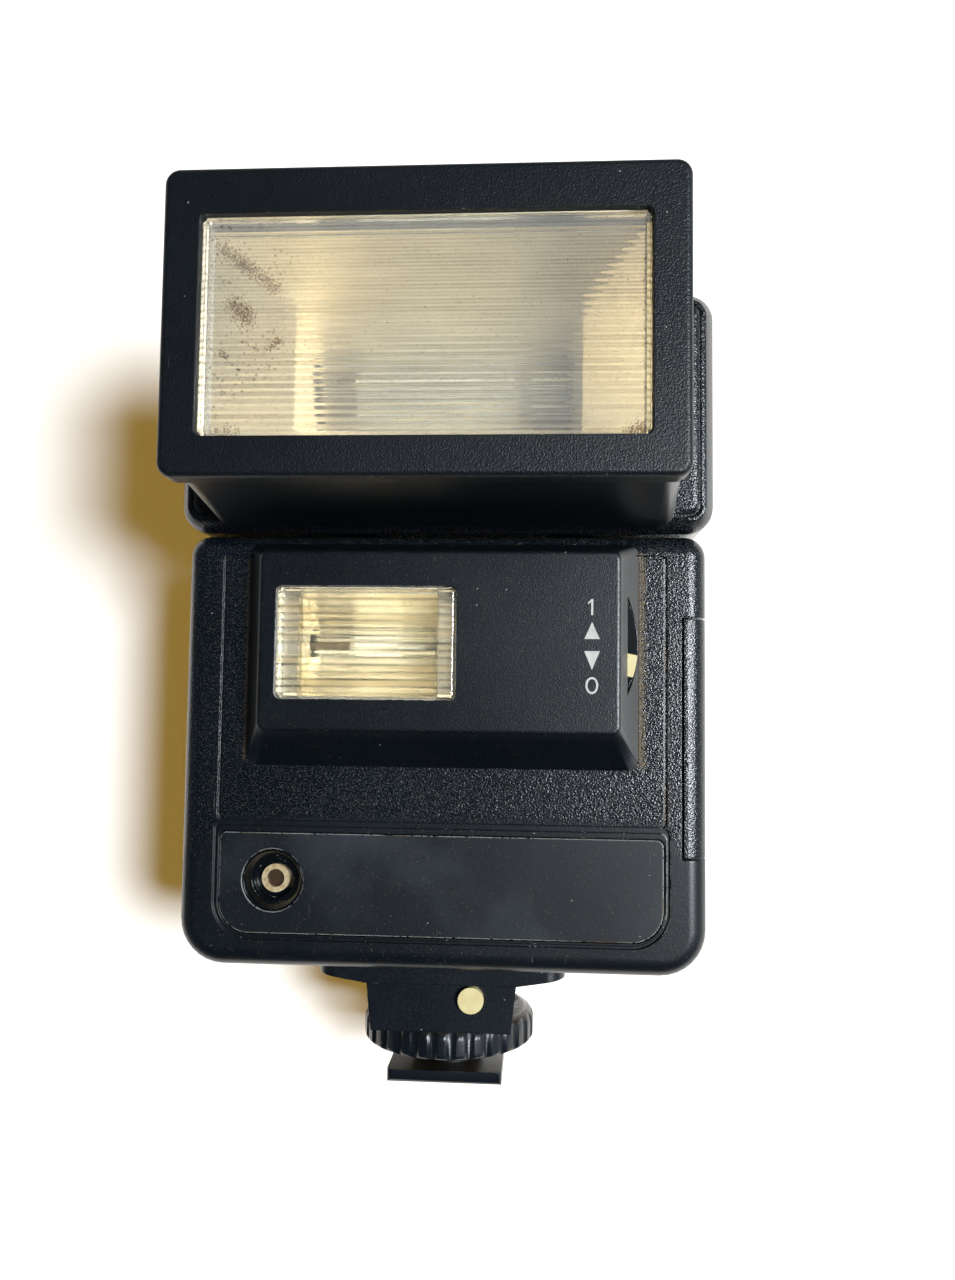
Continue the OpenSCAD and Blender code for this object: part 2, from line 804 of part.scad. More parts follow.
// Posts inside the floor that the foot's screws bite into
module foot_posts(spots) {
  for (s = spots) rod_z(base_z + wall / 2, base_z + wall + foot_post_h, s[0], s[1], foot_post_r);
}

module front_case() {
  color([0.10, 0.11, 0.13]) difference() {
    union() {
      difference() {
        union() {
          intersection() {
            body_form();
            span([-far, far], [-far, split_y], [-far, far]);
          }
          fill_form(0, front_y + over);
        }
        body_hollow(wall);
        fill_form(fill_wall, front_y + wall + over);
      }
      for (s = boss_spots) rod_y(front_y + wall / 2, split_y, s[0], s[1], boss_r - boss_step);
      rod_y(fill_in_y - fill_wall / 2, switch_y + switch_t + pivot_over, switch_x, switch_z, switch_pivot_r);
      foot_posts([for (s = foot_screw_spots) if (s[1] < split_y) s]);
      for (x = tray_post_x) rod_y(front_y + wall / 2, tray_y - tray_half, x, tray_post_z, tray_post_r);
      cap_saddles();
    }
    for (s = boss_spots) rod_y(screw_seat_y - screw_l - over, split_y + over, s[0], s[1], screw_r);
    translate([0, 0, plate_z - plate_gap]) along_y(front_y - over, front_y + plate_t)
      plate_outline(plate_w + 2 * plate_gap, plate_h + 2 * plate_gap, plate_r, plate_top_r);
    front_lines();
    rod_y(front_y - over, front_y + wall + over, sensor_x, sensor_z, funnel_r + push_gap);
    translate([fill_x, 0, fill_z]) along_y(fill_y - over, fill_in_y + over)
      round_rect(fill_w, fill_h, panel_corner);
    intersection() {
      switch_disc(slip_gap);
      span([switch_x + switch_r / 2, far], [-far, far], [-far, far]);
    }
    case_cuts();
  }
}

// Two ribs on the left wall that cradle the capacitor
module cap_saddles() {
  y = [cap_y - cap_r - saddle_t, cap_y - cap_r / 2];
  difference() {
    for (z = saddle_z)
      span([-body_w / 2 + wall / 2, cap_x + cap_r / 2], y, [z - saddle_t / 2, z + saddle_t / 2]);
    rod_z(base_z, deck_z, cap_x, cap_y, cap_r + push_gap);
  }
}

// Fine lines in the front: a frame round the plate, and the grained field's line above it
module front_lines() {
  along_y(front_y - over, front_y + field_deep) {
    translate([0, frame_z0]) difference() {
      plate_outline(frame_w, frame_z1 - frame_z0, plate_r + field_gap, frame_top_r);
      translate([0, field_line]) plate_outline(frame_w - 2 * field_line,
        frame_z1 - frame_z0 - field_line - frame_band, plate_r + field_gap - field_line, plate_top_r);
    }
    translate([0, field_z0]) difference() {
      plate_outline(field_w, field_z1 - field_z0, frame_top_r, plate_top_r);
      translate([0, field_line]) plate_outline(field_w - 2 * field_line,
        field_z1 - field_z0 - 2 * field_line, plate_top_r, field_line);
    }
  }
}

module rear_case() {
  post_y = board_y + board_t;
  color([0.09, 0.10, 0.12]) difference() {
    union() {
      difference() {
        intersection() {
          body_form();
          span([-far, far], [split_y, far], [-far, far]);
        }
        body_hollow(wall);
      }
      for (s = boss_spots) rod_y(split_y, back_y - wall / 2, s[0], s[1], boss_r);
      for (s = board_spots) rod_y(post_y, back_y - wall / 2, s[0], s[1], board_post_r);
      foot_posts([for (s = foot_screw_spots) if (s[1] > split_y) s]);
      for (z = ear_z) rod_z(z, z + ear_l, door_pin_x, door_pin_y, knuckle_r);
      for (side = [-1, 1]) hinge_hub(side * hub_x);
    }
    for (s = boss_spots) {
      rod_y(split_y - over, back_y, s[0], s[1], screw_r + push_gap);
      rod_y(screw_seat_y, back_y + over, s[0], s[1], screw_head_r + slip_gap);
    }
    for (s = board_spots) rod_y(post_y - over, back_y - wall, s[0], s[1], board_pilot_r);
    rod_z(ear_z[0] + ear_end, ear_z[1] + ear_l - ear_end, door_pin_x, door_pin_y, door_pin_r + seat_gap);
    rod_x(-far, far, tilt_y, tilt_z, pin_r + seat_gap);
    knob_slot(power_x, power_travel);
    knob_slot(mode_x, mode_travel);
    rod_y(back_y - wall - over, back_y + over, 0, test_z, test_r + push_gap);
    case_cuts();
  }
}

// Round hub on the body's top that the head tilts on
module hinge_hub(x) {
  rod_x(x - hub_t / 2, x + hub_t / 2, tilt_y, tilt_z, hub_r);
  span([x - hub_t / 2, x + hub_t / 2], [tilt_y - hub_base, tilt_y + hub_base], [deck_z - wall / 2, tilt_z]);
}

module knob_slot(x, travel) {
  translate([x + travel / 2, 0, knob_z]) along_y(back_y - wall - over, back_y + over)
    square([knob_w + travel + 2 * slip_gap, knob_h + 2 * slip_gap], center = true);
}

module front_plate() {
  color([0.13, 0.14, 0.16]) difference() {
    translate([0, 0, plate_z]) along_y(front_y, front_y + plate_t)
      plate_outline(plate_w, plate_h, plate_r, plate_top_r);
    rod_y(front_y - over, front_y + plate_t + over, sensor_x, sensor_z, funnel_r + push_gap);
  }
}

// Round piece on the sensor's axis, with its flat end at a given depth
module on_sensor(y) {
  translate([sensor_x, y, sensor_z]) rotate([-90, 0, 0]) children();
}

module sensor_funnel() {
  half = funnel_mouth / 2;
  step_r = can_r + funnel_step;
  color([0.06, 0.06, 0.07]) on_sensor(front_y - funnel_proud) difference() {
    cylinder(h = funnel_l, r = funnel_r);
    translate([0, 0, -push_gap])
      cylinder(h = half + push_gap, r1 = funnel_r - funnel_lip, r2 = step_r + funnel_flare);
    translate([0, 0, half - push_gap]) cylinder(h = half + push_gap, r = step_r);
    cylinder(h = funnel_l + over, r = can_r + seat_gap);
  }
}

module sensor_can() {
  color([0.72, 0.58, 0.32]) on_sensor(front_y + can_in) difference() {
    cylinder(h = can_l, r = can_r);
    translate([0, 0, -over]) cylinder(h = over + can_deep, r = can_r - can_wall);
  }
}

module sensor_lens() {
  color([0.35, 0.36, 0.38]) on_sensor(front_y + can_in + can_deep - sensor_lens_t)
    cylinder(h = sensor_lens_t, r = can_r - can_wall - seat_gap);
}

module fill_window() {
  color([0.86, 0.85, 0.78, 0.5])
    clear_panel(fill_x, fill_z, fill_w, fill_h, fill_y - fill_proud, fill_in_y, panel_flange_t, fill_lip);
}

module fill_reflector() {
  color([0.82, 0.80, 0.72])
    reflector(fill_x, fill_z, fill_walls, fill_ref_h, fill_ref_side + fill_lip, fill_tube_r, fill_tube_y);
}

module fill_tube() {
  color([0.90, 0.92, 0.92, 0.4]) glass_tube(fill_x, fill_tube_y, fill_z, fill_tube_half, fill_tube_r);
}

module fill_electrodes() {
  color([0.60, 0.60, 0.58]) electrodes(fill_x, fill_tube_y, fill_z, fill_tube_half, fill_tube_r,
    fill_ref_back - reach_in);
}

module index_block(grow) {
  translate([switch_x, 0, switch_z]) rotate([0, switch_swing / 2, 0])
    span([switch_r - index_in - grow, switch_r + over], [switch_y - over, switch_y + switch_t + over],
      [-index_h / 2 - grow, index_h / 2 + grow]);
}

// Rocking disc, at its off position
module fill_switch() {
  color([0.11, 0.12, 0.14]) difference() {
    union() {
      intersection() {
        switch_disc(0);
        translate([switch_x, switch_y - over, switch_z]) rotate([-90, switch_swing / 2, 0])
          linear_extrude(switch_t + 2 * over) sector(switch_r + over, switch_span + switch_swing / 2);
      }
      rod_y(switch_y, switch_y + switch_t, switch_x, switch_z, switch_hub_r);
    }
    rod_y(switch_y - over, switch_y + switch_t + over, switch_x, switch_z, switch_pivot_r + run_gap);
    index_block(seat_gap);
  }
}

// Wedge about +X, wide enough to hold an arc of the radius
module sector(r, half) {
  polygon([[0, 0], [r * cos(half), -r * sin(half)], [r, -r * sin(half)], [r, r * sin(half)],
    [r * cos(half), r * sin(half)]]);
}

module fill_index() {
  color([0.93, 0.90, 0.72]) intersection() {
    switch_disc(0);
    index_block(0);
  }
}

module battery_tray() {
  color([0.16, 0.16, 0.17]) difference() {
    span([tray_x0, tray_x1], [tray_y - tray_half, tray_y + tray_half], [door_z - tray_half, tray_top]);
    for (s = cell_spots)
      rod_x(tray_x0 + tray_end - contact_t, tray_x1 + over, s[0], s[1], cell_d / 2 + cell_gap);
  }
}

module cells() {
  x0 = tray_x0 + tray_end;
  for (i = [0:3]) {
    s = cell_spots[i];
    flip = (i == 0 || i == 3) ? 1 : 0;
    mid = x0 + cell_l / 2;
    color(flip ? [0.20, 0.24, 0.30] : [0.22, 0.25, 0.29])
      translate([mid, 0, 0]) mirror([flip, 0, 0]) {
        rod_x(-cell_l / 2, cell_l / 2 - nub_l, s[0], s[1], cell_d / 2);
        rod_x(cell_l / 2 - nub_l - push_gap, cell_l / 2, s[0], s[1], nub_r);
      }
  }
}

module tray_contacts() {
  x0 = tray_x0 + tray_end - contact_t;
  color([0.75, 0.74, 0.70]) for (s = cell_spots) rod_x(x0, x0 + contact_t, s[0], s[1], cell_d / 2 - over);
}

module battery_door() {
  color([0.09, 0.10, 0.12]) difference() {
    union() {
      difference() {
        intersection() {
          body_form();
          door_window(0);
        }
        body_hollow(door_t);
      }
      rod_z(door_z0, door_z1, door_pin_x, door_pin_y, knuckle_r);
      for (side = [-1, 1]) translate([0, tray_y + side * cell_pitch / 2, door_z])
        span([pad_x, body_w / 2 - door_t / 2], [-pad_half, pad_half], [-cell_pitch, cell_pitch]);
    }
    rod_z(door_z0 - over, door_z1 + over, door_pin_x, door_pin_y, door_pin_r + run_gap);
  }
}

// Two strips on the door, each joining an upper cell to a lower one
module door_contacts() {
  half_l = cell_pitch - over;
  x0 = pad_x - contact_t;
  color([0.75, 0.74, 0.70]) for (side = [-1, 1]) translate([0, tray_y + side * cell_pitch / 2, door_z]) {
    span([x0, pad_x], [-strip_half, strip_half], [-half_l, half_l]);
    for (z = [-1, 1]) rod_x(x0 - dimple_out, x0 + contact_t / 2, 0, z * cell_pitch / 2, dimple_r);
  }
}

module door_pin() {
  end = ear_end + slip_gap;
  color([0.70, 0.70, 0.70])
    rod_z(ear_z[0] + end, ear_z[1] + ear_l - end, door_pin_x, door_pin_y, door_pin_r);
}

module capacitor() {
  shoulder = cap_z + cap_l / 2 - cap_foot;
  color([0.15, 0.17, 0.24]) {
    rod_z(cap_z - cap_l / 2, shoulder, cap_x, cap_y, cap_r);
    rod_z(shoulder - push_gap, cap_z + cap_l / 2, cap_x, cap_y, cap_r - over);
  }
}

module circuit_board() {
  color([0.16, 0.32, 0.20]) difference() {
    span([-board_w / 2, board_w / 2], [board_y, board_y + board_t], board_z);
    for (s = board_spots) rod_y(board_y - over, board_y + board_t + over, s[0], s[1], board_hole_r);
  }
}

// Converter transformer standing on the tray: a core round a wound bobbin
module transformer() {
  inner = [core_x[0] + core_leg, core_x[1] - core_leg];
  color([0.20, 0.20, 0.21]) translate([0, tray_y, tray_top]) {
    difference() {
      span(core_x, [-core_half, core_half], [0, core_h]);
      span(inner, [-far, far], [core_leg, core_h - core_leg]);
    }
    rod_x(inner[0] - push_gap, inner[1] + push_gap, 0, core_h / 2, core_h / 2 - core_leg - slip_gap);
  }
}

module trigger_coil() {
  color([0.55, 0.33, 0.14]) translate([trigger_x, tray_y, tray_top]) {
    rod_x(0, trigger_l, 0, trigger_r, trigger_r - trigger_step);
    for (x = [0, trigger_l - trigger_flange]) rod_x(x, x + trigger_flange, 0, trigger_r, trigger_r);
  }
}

// Sliding knob on the back, held by a flange inside the wall
module slide_knob(x) {
  translate([x, 0, knob_z]) difference() {
    union() {
      along_y(knob_in_y - knob_flange / 2, back_y + knob_out) square([knob_w, knob_h], center = true);
      along_y(knob_in_y - knob_flange, knob_in_y)
        square([knob_w + 2 * knob_side, knob_h + 2 * knob_lip], center = true);
    }
    for (i = [-1:1]) translate([i * knob_w / 4, 0, 0])
      span([-knob_groove / 2, knob_groove / 2], [back_y + knob_out - knob_groove, far], [-far, far]);
  }
}

module power_switch() {
  color([0.12, 0.12, 0.13]) slide_knob(power_x);
}

module mode_switch() {
  color([0.12, 0.12, 0.13]) slide_knob(mode_x);
}

module test_button() {
  end_y = back_y + test_out;
  color([0.90, 0.42, 0.12]) difference() {
    union() {
      rod_y(knob_in_y - test_flange - push_gap, end_y, 0, test_z, test_r);
      rod_y(knob_in_y - test_flange, knob_in_y, 0, test_z, test_r + test_lip);
    }
    translate([0, end_y + test_dish_r - test_dish, test_z]) sphere(test_dish_r);
  }
}

module case_screws() {
  color([0.30, 0.30, 0.32]) for (s = boss_spots)
    back_screw(s[0], s[1], screw_seat_y, screw_r - seat_gap, screw_head_r, screw_head_t, screw_l);
}

// Screws that hold the board on its posts, with their heads towards the tray
module board_screws() {
  color([0.55, 0.55, 0.55]) for (s = board_spots) {
    rod_y(board_y - board_head_t, board_y, s[0], s[1], board_head_r);
    rod_y(board_y - board_head_t / 2, back_y - wall - slip_gap, s[0], s[1], board_pilot_r - seat_gap);
  }
}

// Foot
module foot_block() {
  half = flange_w / 2;
  top = block_w / 2;
  foot = top - block_taper;
  edge_z = base_z - flange_edge;
  color([0.08, 0.09, 0.11]) difference() {
    intersection() {
      along_z(block_z, base_z) translate([0, flange_y]) round_rect(flange_w, flange_d, flange_r);
      along_y(-far, far) polygon([[-half, base_z], [half, base_z], [half, edge_z], [top, flange_z],
        [foot, block_z], [-foot, block_z], [-top, flange_z], [-half, edge_z]]);
      union() {
        along_x(-far, far) polygon([[-block_front, block_z], [-block_front, flange_z + push_gap],
          [block_back, flange_z + push_gap], [block_back, flange_z], [block_back - block_lean, block_z]]);
        span([-far, far], [-far, far], [flange_z, base_z]);
      }
    }
    rod_z(block_z - over, stem_top + run_gap, 0, 0, stem_r + run_gap);
    rod_y(-block_front - over, -block_front + button_end, button_x, button_z, button_r + push_gap);
    rod_y(button_back_y - button_collar_t - push_gap, button_back_y + button_end, button_x, button_z,
      button_collar_r + slip_gap);
    for (s = foot_screw_spots) {
      rod_z(block_z, base_z + over, s[0], s[1], foot_screw_r + push_gap);
      rod_z(block_z, base_z - foot_head_t, s[0], s[1], foot_head_r + push_gap);
    }
  }
}

module foot_screws() {
  seat_z = base_z - foot_head_t;
  head_z = seat_z - foot_head_t;
  color([0.60, 0.60, 0.60]) for (s = foot_screw_spots) translate([s[0], s[1], 0]) difference() {
    union() {
      rod_z(seat_z - push_gap, seat_z + foot_screw_l, 0, 0, foot_screw_r - seat_gap);
      rod_z(head_z, seat_z, 0, 0, foot_head_r);
    }
    span([-far, far], [-foot_slot / 2, foot_slot / 2], [-far, head_z + foot_slot]);
  }
}

module foot_stem() {
  color([0.55, 0.55, 0.56]) difference() {
    rod_z(shoe_t, stem_top, 0, 0, stem_r);
    rod_z(shoe_t - over, contact_seat + over, 0, 0, contact_r + push_gap);
    rod_z(contact_seat, chamber_top, 0, 0, chamber_r);
  }
}

module shoe_plate() {
  bevel = 0.5;
  color([0.10, 0.11, 0.13]) difference() {
    intersection() {
      along_z(0, shoe_t) round_rect(shoe_w, shoe_l, 0.8);
      along_x(-far, far) polygon([[-shoe_l / 2 + bevel, 0], [shoe_l / 2, 0], [shoe_l / 2, shoe_t],
        [-shoe_l / 2, shoe_t], [-shoe_l / 2, bevel]]);
    }
    rod_z(-over, shoe_t + over, 0, 0, contact_r + push_gap);
  }
}

// Knurled nut that drives the clamp washer down on to the shoe's rails
module lock_wheel() {
  bore = stem_r + run_gap;
  web = wheel_t - wheel_dish;
  low = [for (i = [0:wheel_round_steps]) let (a = 90 * i / wheel_round_steps)
    [wheel_r - wheel_low_round * (1 - sin(a)), wheel_low_round * (1 - cos(a))]];
  top = [for (i = [0:wheel_round_steps]) let (a = 90 * i / wheel_round_steps)
    [wheel_r - wheel_top_round * (1 - cos(a)), wheel_t - wheel_top_round * (1 - sin(a))]];
  color([0.09, 0.10, 0.11]) difference() {
    translate([0, 0, wheel_z]) rotate_extrude()
      polygon(concat([[bore, 0]], low, top, [[wheel_r - wheel_rim, web], [bore, web]]));
    for (i = [0:wheel_ribs - 1]) rotate([0, 0, 360 * i / wheel_ribs])
      rod_z(wheel_z - over, wheel_z + wheel_t + over, wheel_r + rib_out, 0, rib_r);
  }
}

module clamp_washer() {
  color([0.60, 0.60, 0.60]) difference() {
    rod_z(washer_z, washer_z + washer_t, 0, 0, washer_r);
    rod_z(washer_z - over, washer_z + washer_t + over, 0, 0, stem_r + run_gap);
  }
}

module release_button() {
  color([0.92, 0.85, 0.62]) {
    rod_y(-block_front - button_out, button_back_y, button_x, button_z, button_r);
    rod_y(button_back_y - button_collar_t, button_back_y, button_x, button_z, button_collar_r);
  }
}

module button_spring() {
  l = button_end - 2 * (wire_r + push_gap);
  echo(button_spring_least_gap = l / button_turns - 2 * wire_r);
  color([0.7, 0.7, 0.7]) translate([button_x, button_back_y + wire_r + push_gap, button_z])
    rotate([-90, 0, 0]) coil(button_r - spring_in, wire_r, l, button_turns);
}

module centre_contact() {
  collar_z = contact_seat + push_gap;
  color([0.75, 0.70, 0.55]) {
    rod_z(contact_nose - contact_out, collar_z + contact_collar_t, 0, 0, contact_r);
    translate([0, 0, -contact_out]) cylinder(h = contact_nose, r1 = contact_r - contact_nose, r2 = contact_r);
    rod_z(collar_z, collar_z + contact_collar_t, 0, 0, contact_collar_r);
  }
}

module contact_spring() {
  z0 = contact_seat + 2 * push_gap + contact_collar_t + wire_r;
  l = chamber_top - z0 - wire_r - push_gap;
  echo(contact_spring_least_gap = l / contact_turns - 2 * wire_r);
  color([0.7, 0.7, 0.7]) translate([0, 0, z0])
    coil(contact_collar_r - spring_in, wire_r, l, contact_turns);
}

// Head
module head_form() {
  soft_box(head_w, head_y0, head_y1, head_z0, head_z1, head_r, head_r, head_edge_r);
}

module head_hollow() {
  soft_box(head_w - 2 * wall, head_y0 + wall, head_y1 - wall, head_z0 + wall, head_z1 - wall,
    head_r - wall, head_r - wall, head_edge_r - wall);
}

// What lies outside the rounding about the tilt pin
module tilt_corner(r) {
  difference() {
    span([-far, far], [tilt_y, far], [0, tilt_z]);
    rod_x(-far, far, tilt_y, tilt_z, r);
  }
}

// Lamp box, tapering to the bezel; in is its wall when the hollow is wanted
module snout_form(in) {
  r = snout_r - in / 2;
  front = in > 0 ? 1 : 0;
  hull() {
    corner_slice(snout_half - in, bezel_z0 + bezel_lip + in, bezel_z0 + bezel_h - bezel_lip - in,
      bezel_y1 - front, bezel_y1 - front + 2 * slice_t, r, r);
    corner_slice(snout_half + snout_flare - in, head_z0 + snout_root + in, head_z1 - snout_root - in,
      head_y0, snout_back_y + in, r, r);
  }
}

// Fine line in the head housing's front, along its outline
module head_front_line() {
  w = head_w - 2 * head_line_in;
  h = head_h - 2 * head_line_in;
  r = head_r - head_line_in;
  translate([0, 0, (head_z0 + head_z1) / 2]) along_y(head_y0 - over, head_y0 + head_line_deep) difference() {
    round_rect(w, h, r);
    round_rect(w - 2 * head_line, h - 2 * head_line, r - head_line);
  }
}

module head_shell() {
  color([0.10, 0.11, 0.13]) difference() {
    union() {
      difference() {
        union() {
          difference() {
            intersection() {
              head_form();
              span([-far, far], [-far, head_split_y], [-far, far]);
            }
            head_front_line();
          }
          snout_form(0);
        }
        head_hollow();
        snout_form(snout_wall);
      }
      for (s = head_spots) rod_y(head_y0 + head_edge_r, head_split_y, s[0], s[1], head_boss_r);
    }
    for (s = head_spots) rod_y(head_split_y - head_pilot, head_split_y + over, s[0], s[1], screw_r);
  }
}

module head_cover() {
  slot_half = hub_t / 2 + slip_gap;
  base_half = hub_base + slip_gap + push_gap;
  color([0.09, 0.10, 0.12]) difference() {
    union() {
      difference() {
        intersection() {
          head_form();
          span([-far, far], [head_split_y, far], [-far, far]);
        }
        tilt_corner(tilt_r);
        difference() {
          head_hollow();
          tilt_corner(tilt_r - wall);
        }
      }
      rod_x(-barrel_x, barrel_x, tilt_y, tilt_z, barrel_r);
      for (s = head_spots) rod_y(head_split_y, head_y1 - wall / 2, s[0], s[1], head_boss_r + barrel_step);
    }
    for (side = [-1, 1]) {
      x = [side * hub_x - slot_half, side * hub_x + slot_half];
      rod_x(x[0], x[1], tilt_y, tilt_z, tilt_r + run_gap);
      span(x, [tilt_y - base_half, tilt_y], [head_z0 - over, tilt_z]);
      span(x, [tilt_y, head_y1 + over], [tilt_z, tilt_z + base_half]);
    }
    rod_x(-barrel_x - over, barrel_x + over, tilt_y, tilt_z, pin_r + run_gap);
    for (s = head_spots) {
      rod_y(head_split_y - over, head_y1, s[0], s[1], screw_r + push_gap);
      rod_y(head_seat_y, head_y1 + over, s[0], s[1], screw_head_r + slip_gap);
    }
  }
}

module hinge_pin() {
  color([0.65, 0.65, 0.66]) rod_x(-barrel_x, barrel_x, tilt_y, tilt_z, pin_r);
}

module bezel() {
  x = bezel_w / 2;
  z1 = bezel_z0 + bezel_h;
  color([0.12, 0.13, 0.15]) difference() {
    hull() {
      rounded_front(x, bezel_z0, z1, bezel_y0, bezel_r, bezel_round);
      corner_slice(x, bezel_z0, z1, bezel_y0 + bezel_round, bezel_y1, bezel_r, bezel_r);
    }
    translate([0, 0, lens_z]) along_y(bezel_y0 - over, bezel_y1 + over)
      round_rect(lens_w, lens_h, panel_corner);
  }
}

module main_lens() {
  color([0.86, 0.85, 0.78, 0.5]) clear_panel(0, lens_z, lens_w, lens_h, bezel_y0 + lens_recess,
    bezel_y1, lens_flange_t, panel_lip);
}

module main_reflector() {
  color([0.85, 0.83, 0.75])
    reflector(0, lens_z, main_walls, main_ref_h, panel_lip, tube_r, main_tube_y);
}

module main_tube() {
  color([0.90, 0.92, 0.92, 0.4]) glass_tube(0, main_tube_y, lens_z, main_tube_half, tube_r);
}

module main_electrodes() {
  color([0.60, 0.60, 0.58]) electrodes(0, main_tube_y, lens_z, main_tube_half, tube_r,
    main_ref_back - reach_in);
}

// Rubber rings that hold the tube outside the reflector's side walls
module tube_grommets() {
  color([0.75, 0.74, 0.70]) for (side = [0, 1]) mirror([side, 0, 0]) difference() {
    rod_x(grommet_x, grommet_x + grommet_t, main_tube_y, lens_z, grommet_r);
    rod_x(grommet_x - over, grommet_x + grommet_t + over, main_tube_y, lens_z, tube_r + seat_gap);
  }
}

module head_screws() {
  l = head_seat_y - head_split_y + head_bite;
  color([0.30, 0.30, 0.32]) for (s = head_spots)
    back_screw(s[0], s[1], head_seat_y, screw_r - seat_gap, screw_head_r, screw_head_t, l);
}

front_case();
rear_case();
front_plate();
sensor_funnel();
sensor_can();
sensor_lens();
fill_window();
fill_reflector();
fill_tube();
fill_electrodes();
fill_switch();
fill_index();
battery_tray();
cells();
tray_contacts();
battery_door();
door_contacts();
door_pin();
capacitor();
circuit_board();
transformer();
trigger_coil();
power_switch();
mode_switch();
test_button();
case_screws();
board_screws();
foot_block();
foot_screws();
foot_stem();
shoe_plate();
lock_wheel();
clamp_washer();
release_button();
button_spring();
centre_contact();
contact_spring();
hinge_pin();
head_shell();
head_cover();
bezel();
main_lens();
main_reflector();
main_tube();
main_electrodes();
tube_grommets();
head_screws();
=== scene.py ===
import bpy
import bmesh
import json
from math import cos, floor, pi, radians, sin
from mathutils import Matrix, Vector


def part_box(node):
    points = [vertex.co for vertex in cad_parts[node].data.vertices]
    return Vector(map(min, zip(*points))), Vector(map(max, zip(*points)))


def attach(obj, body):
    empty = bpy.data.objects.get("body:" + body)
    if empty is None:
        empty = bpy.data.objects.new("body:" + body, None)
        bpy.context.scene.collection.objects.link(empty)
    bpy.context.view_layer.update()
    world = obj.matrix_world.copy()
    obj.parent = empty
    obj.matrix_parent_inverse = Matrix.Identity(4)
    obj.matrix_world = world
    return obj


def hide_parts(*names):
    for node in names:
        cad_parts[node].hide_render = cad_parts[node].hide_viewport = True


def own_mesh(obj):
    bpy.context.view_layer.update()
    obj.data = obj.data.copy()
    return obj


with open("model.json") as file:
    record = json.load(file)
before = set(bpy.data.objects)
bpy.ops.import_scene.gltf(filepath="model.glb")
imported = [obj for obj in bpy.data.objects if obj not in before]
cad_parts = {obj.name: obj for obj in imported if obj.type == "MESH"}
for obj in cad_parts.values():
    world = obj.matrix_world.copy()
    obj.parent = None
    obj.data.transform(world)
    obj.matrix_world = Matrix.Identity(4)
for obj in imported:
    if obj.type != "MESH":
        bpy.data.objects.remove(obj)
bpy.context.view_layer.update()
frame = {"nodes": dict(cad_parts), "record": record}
scene = bpy.context.scene
scene.view_settings.view_transform = "Standard"
mm = 0.001
bodyOf = {node: body for body, nodes in frame["record"]["behaviour"]["bodies"].items() for node in nodes}
slotOf = {row["node"]: row["material_slot"] for row in frame["record"]["subparts"]}
print("frame loaded:", len(frame["nodes"]), "nodes")

# camera, worked out from the edges in the photograph; place and sensor in mm, clip in metres
cameraSet = {
    "place": (14.8, -171.75, 61.44),
    "right": (0.998, 0.06201, 0.01237),
    "down": (0.00841, 0.06361, -0.99794),
    "focalPixels": 985,
    "longPixels": 1280,
    "sensor": 36,
    "clip": (0.01, 20),
}


def makeCamera(c):
    data = bpy.data.cameras.new("camera")
    data.sensor_width = c["sensor"]
    data.lens = c["focalPixels"] / c["longPixels"] * c["sensor"]
    data.clip_start, data.clip_end = c["clip"]
    camera = bpy.data.objects.new("camera", data)
    scene.collection.objects.link(camera)
    right = Vector(c["right"]).normalized()
    back = right.cross(-Vector(c["down"])).normalized()
    up = back.cross(right)
    turn = Matrix((right, up, back)).transposed()
    camera.matrix_world = Matrix.Translation(Vector(c["place"]) * mm) @ turn.to_4x4()
    scene.camera = camera


makeCamera(cameraSet)
print("camera placed")

floatKind, vectorKind, wholeKind = "NodeSocketFloat", "NodeSocketVector", "NodeSocketInt"
shapeKind, finishKind = "NodeSocketGeometry", "NodeSocketMaterial"


def addNode(tree, kind, values=None, **settings):
    node = tree.nodes.new(kind)
    for key, value in settings.items():
        setattr(node, key, value)
    for key, value in (values or {}).items():
        if isinstance(value, bpy.types.NodeSocket):
            tree.links.new(value, node.inputs[key])
        else:
            node.inputs[key].default_value = value
    return node


def sums(tree, operation, a, b=0.0, c=0.0):
    return addNode(tree, "ShaderNodeMath", {0: a, 1: b, 2: c}, operation=operation).outputs[0]


def times(tree, a, b):
    return sums(tree, "MULTIPLY", a, b)


def mapTo(tree, value, low, high, outLow=0.0, outHigh=1.0):
    return addNode(tree, "ShaderNodeMapRange", {0: value, 1: low, 2: high, 3: outLow, 4: outHigh}).outputs[0]


def blendColours(tree, mask, a, b):
    return addNode(tree, "ShaderNodeMix", {0: mask, 6: a, 7: b}, data_type="RGBA").outputs[2]


def scaled(tree, vector, factor):
    return addNode(tree, "ShaderNodeVectorMath", {0: vector, 3: factor}, operation="SCALE").outputs[0]


def parts(tree, vector):
    return addNode(tree, "ShaderNodeSeparateXYZ", {0: vector}).outputs


def joined(tree, x=0.0, y=0.0, z=0.0):
    return addNode(tree, "ShaderNodeCombineXYZ", {0: x, 1: y, 2: z}).outputs[0]


def mapping(tree, vector, **values):
    return addNode(tree, "ShaderNodeMapping", dict(values, Vector=vector)).outputs[0]


def noise(tree, vector, scale=1.0, detail=2.0, roughness=0.5):
    values = {"Vector": vector, "Scale": scale, "Detail": detail, "Roughness": roughness}
    return addNode(tree, "ShaderNodeTexNoise", values).outputs[0]


def objectSpot(tree):
    return addNode(tree, "ShaderNodeTexCoord").outputs["Object"]


def faceNormal(tree):
    return addNode(tree, "ShaderNodeTexCoord").outputs["Normal"]


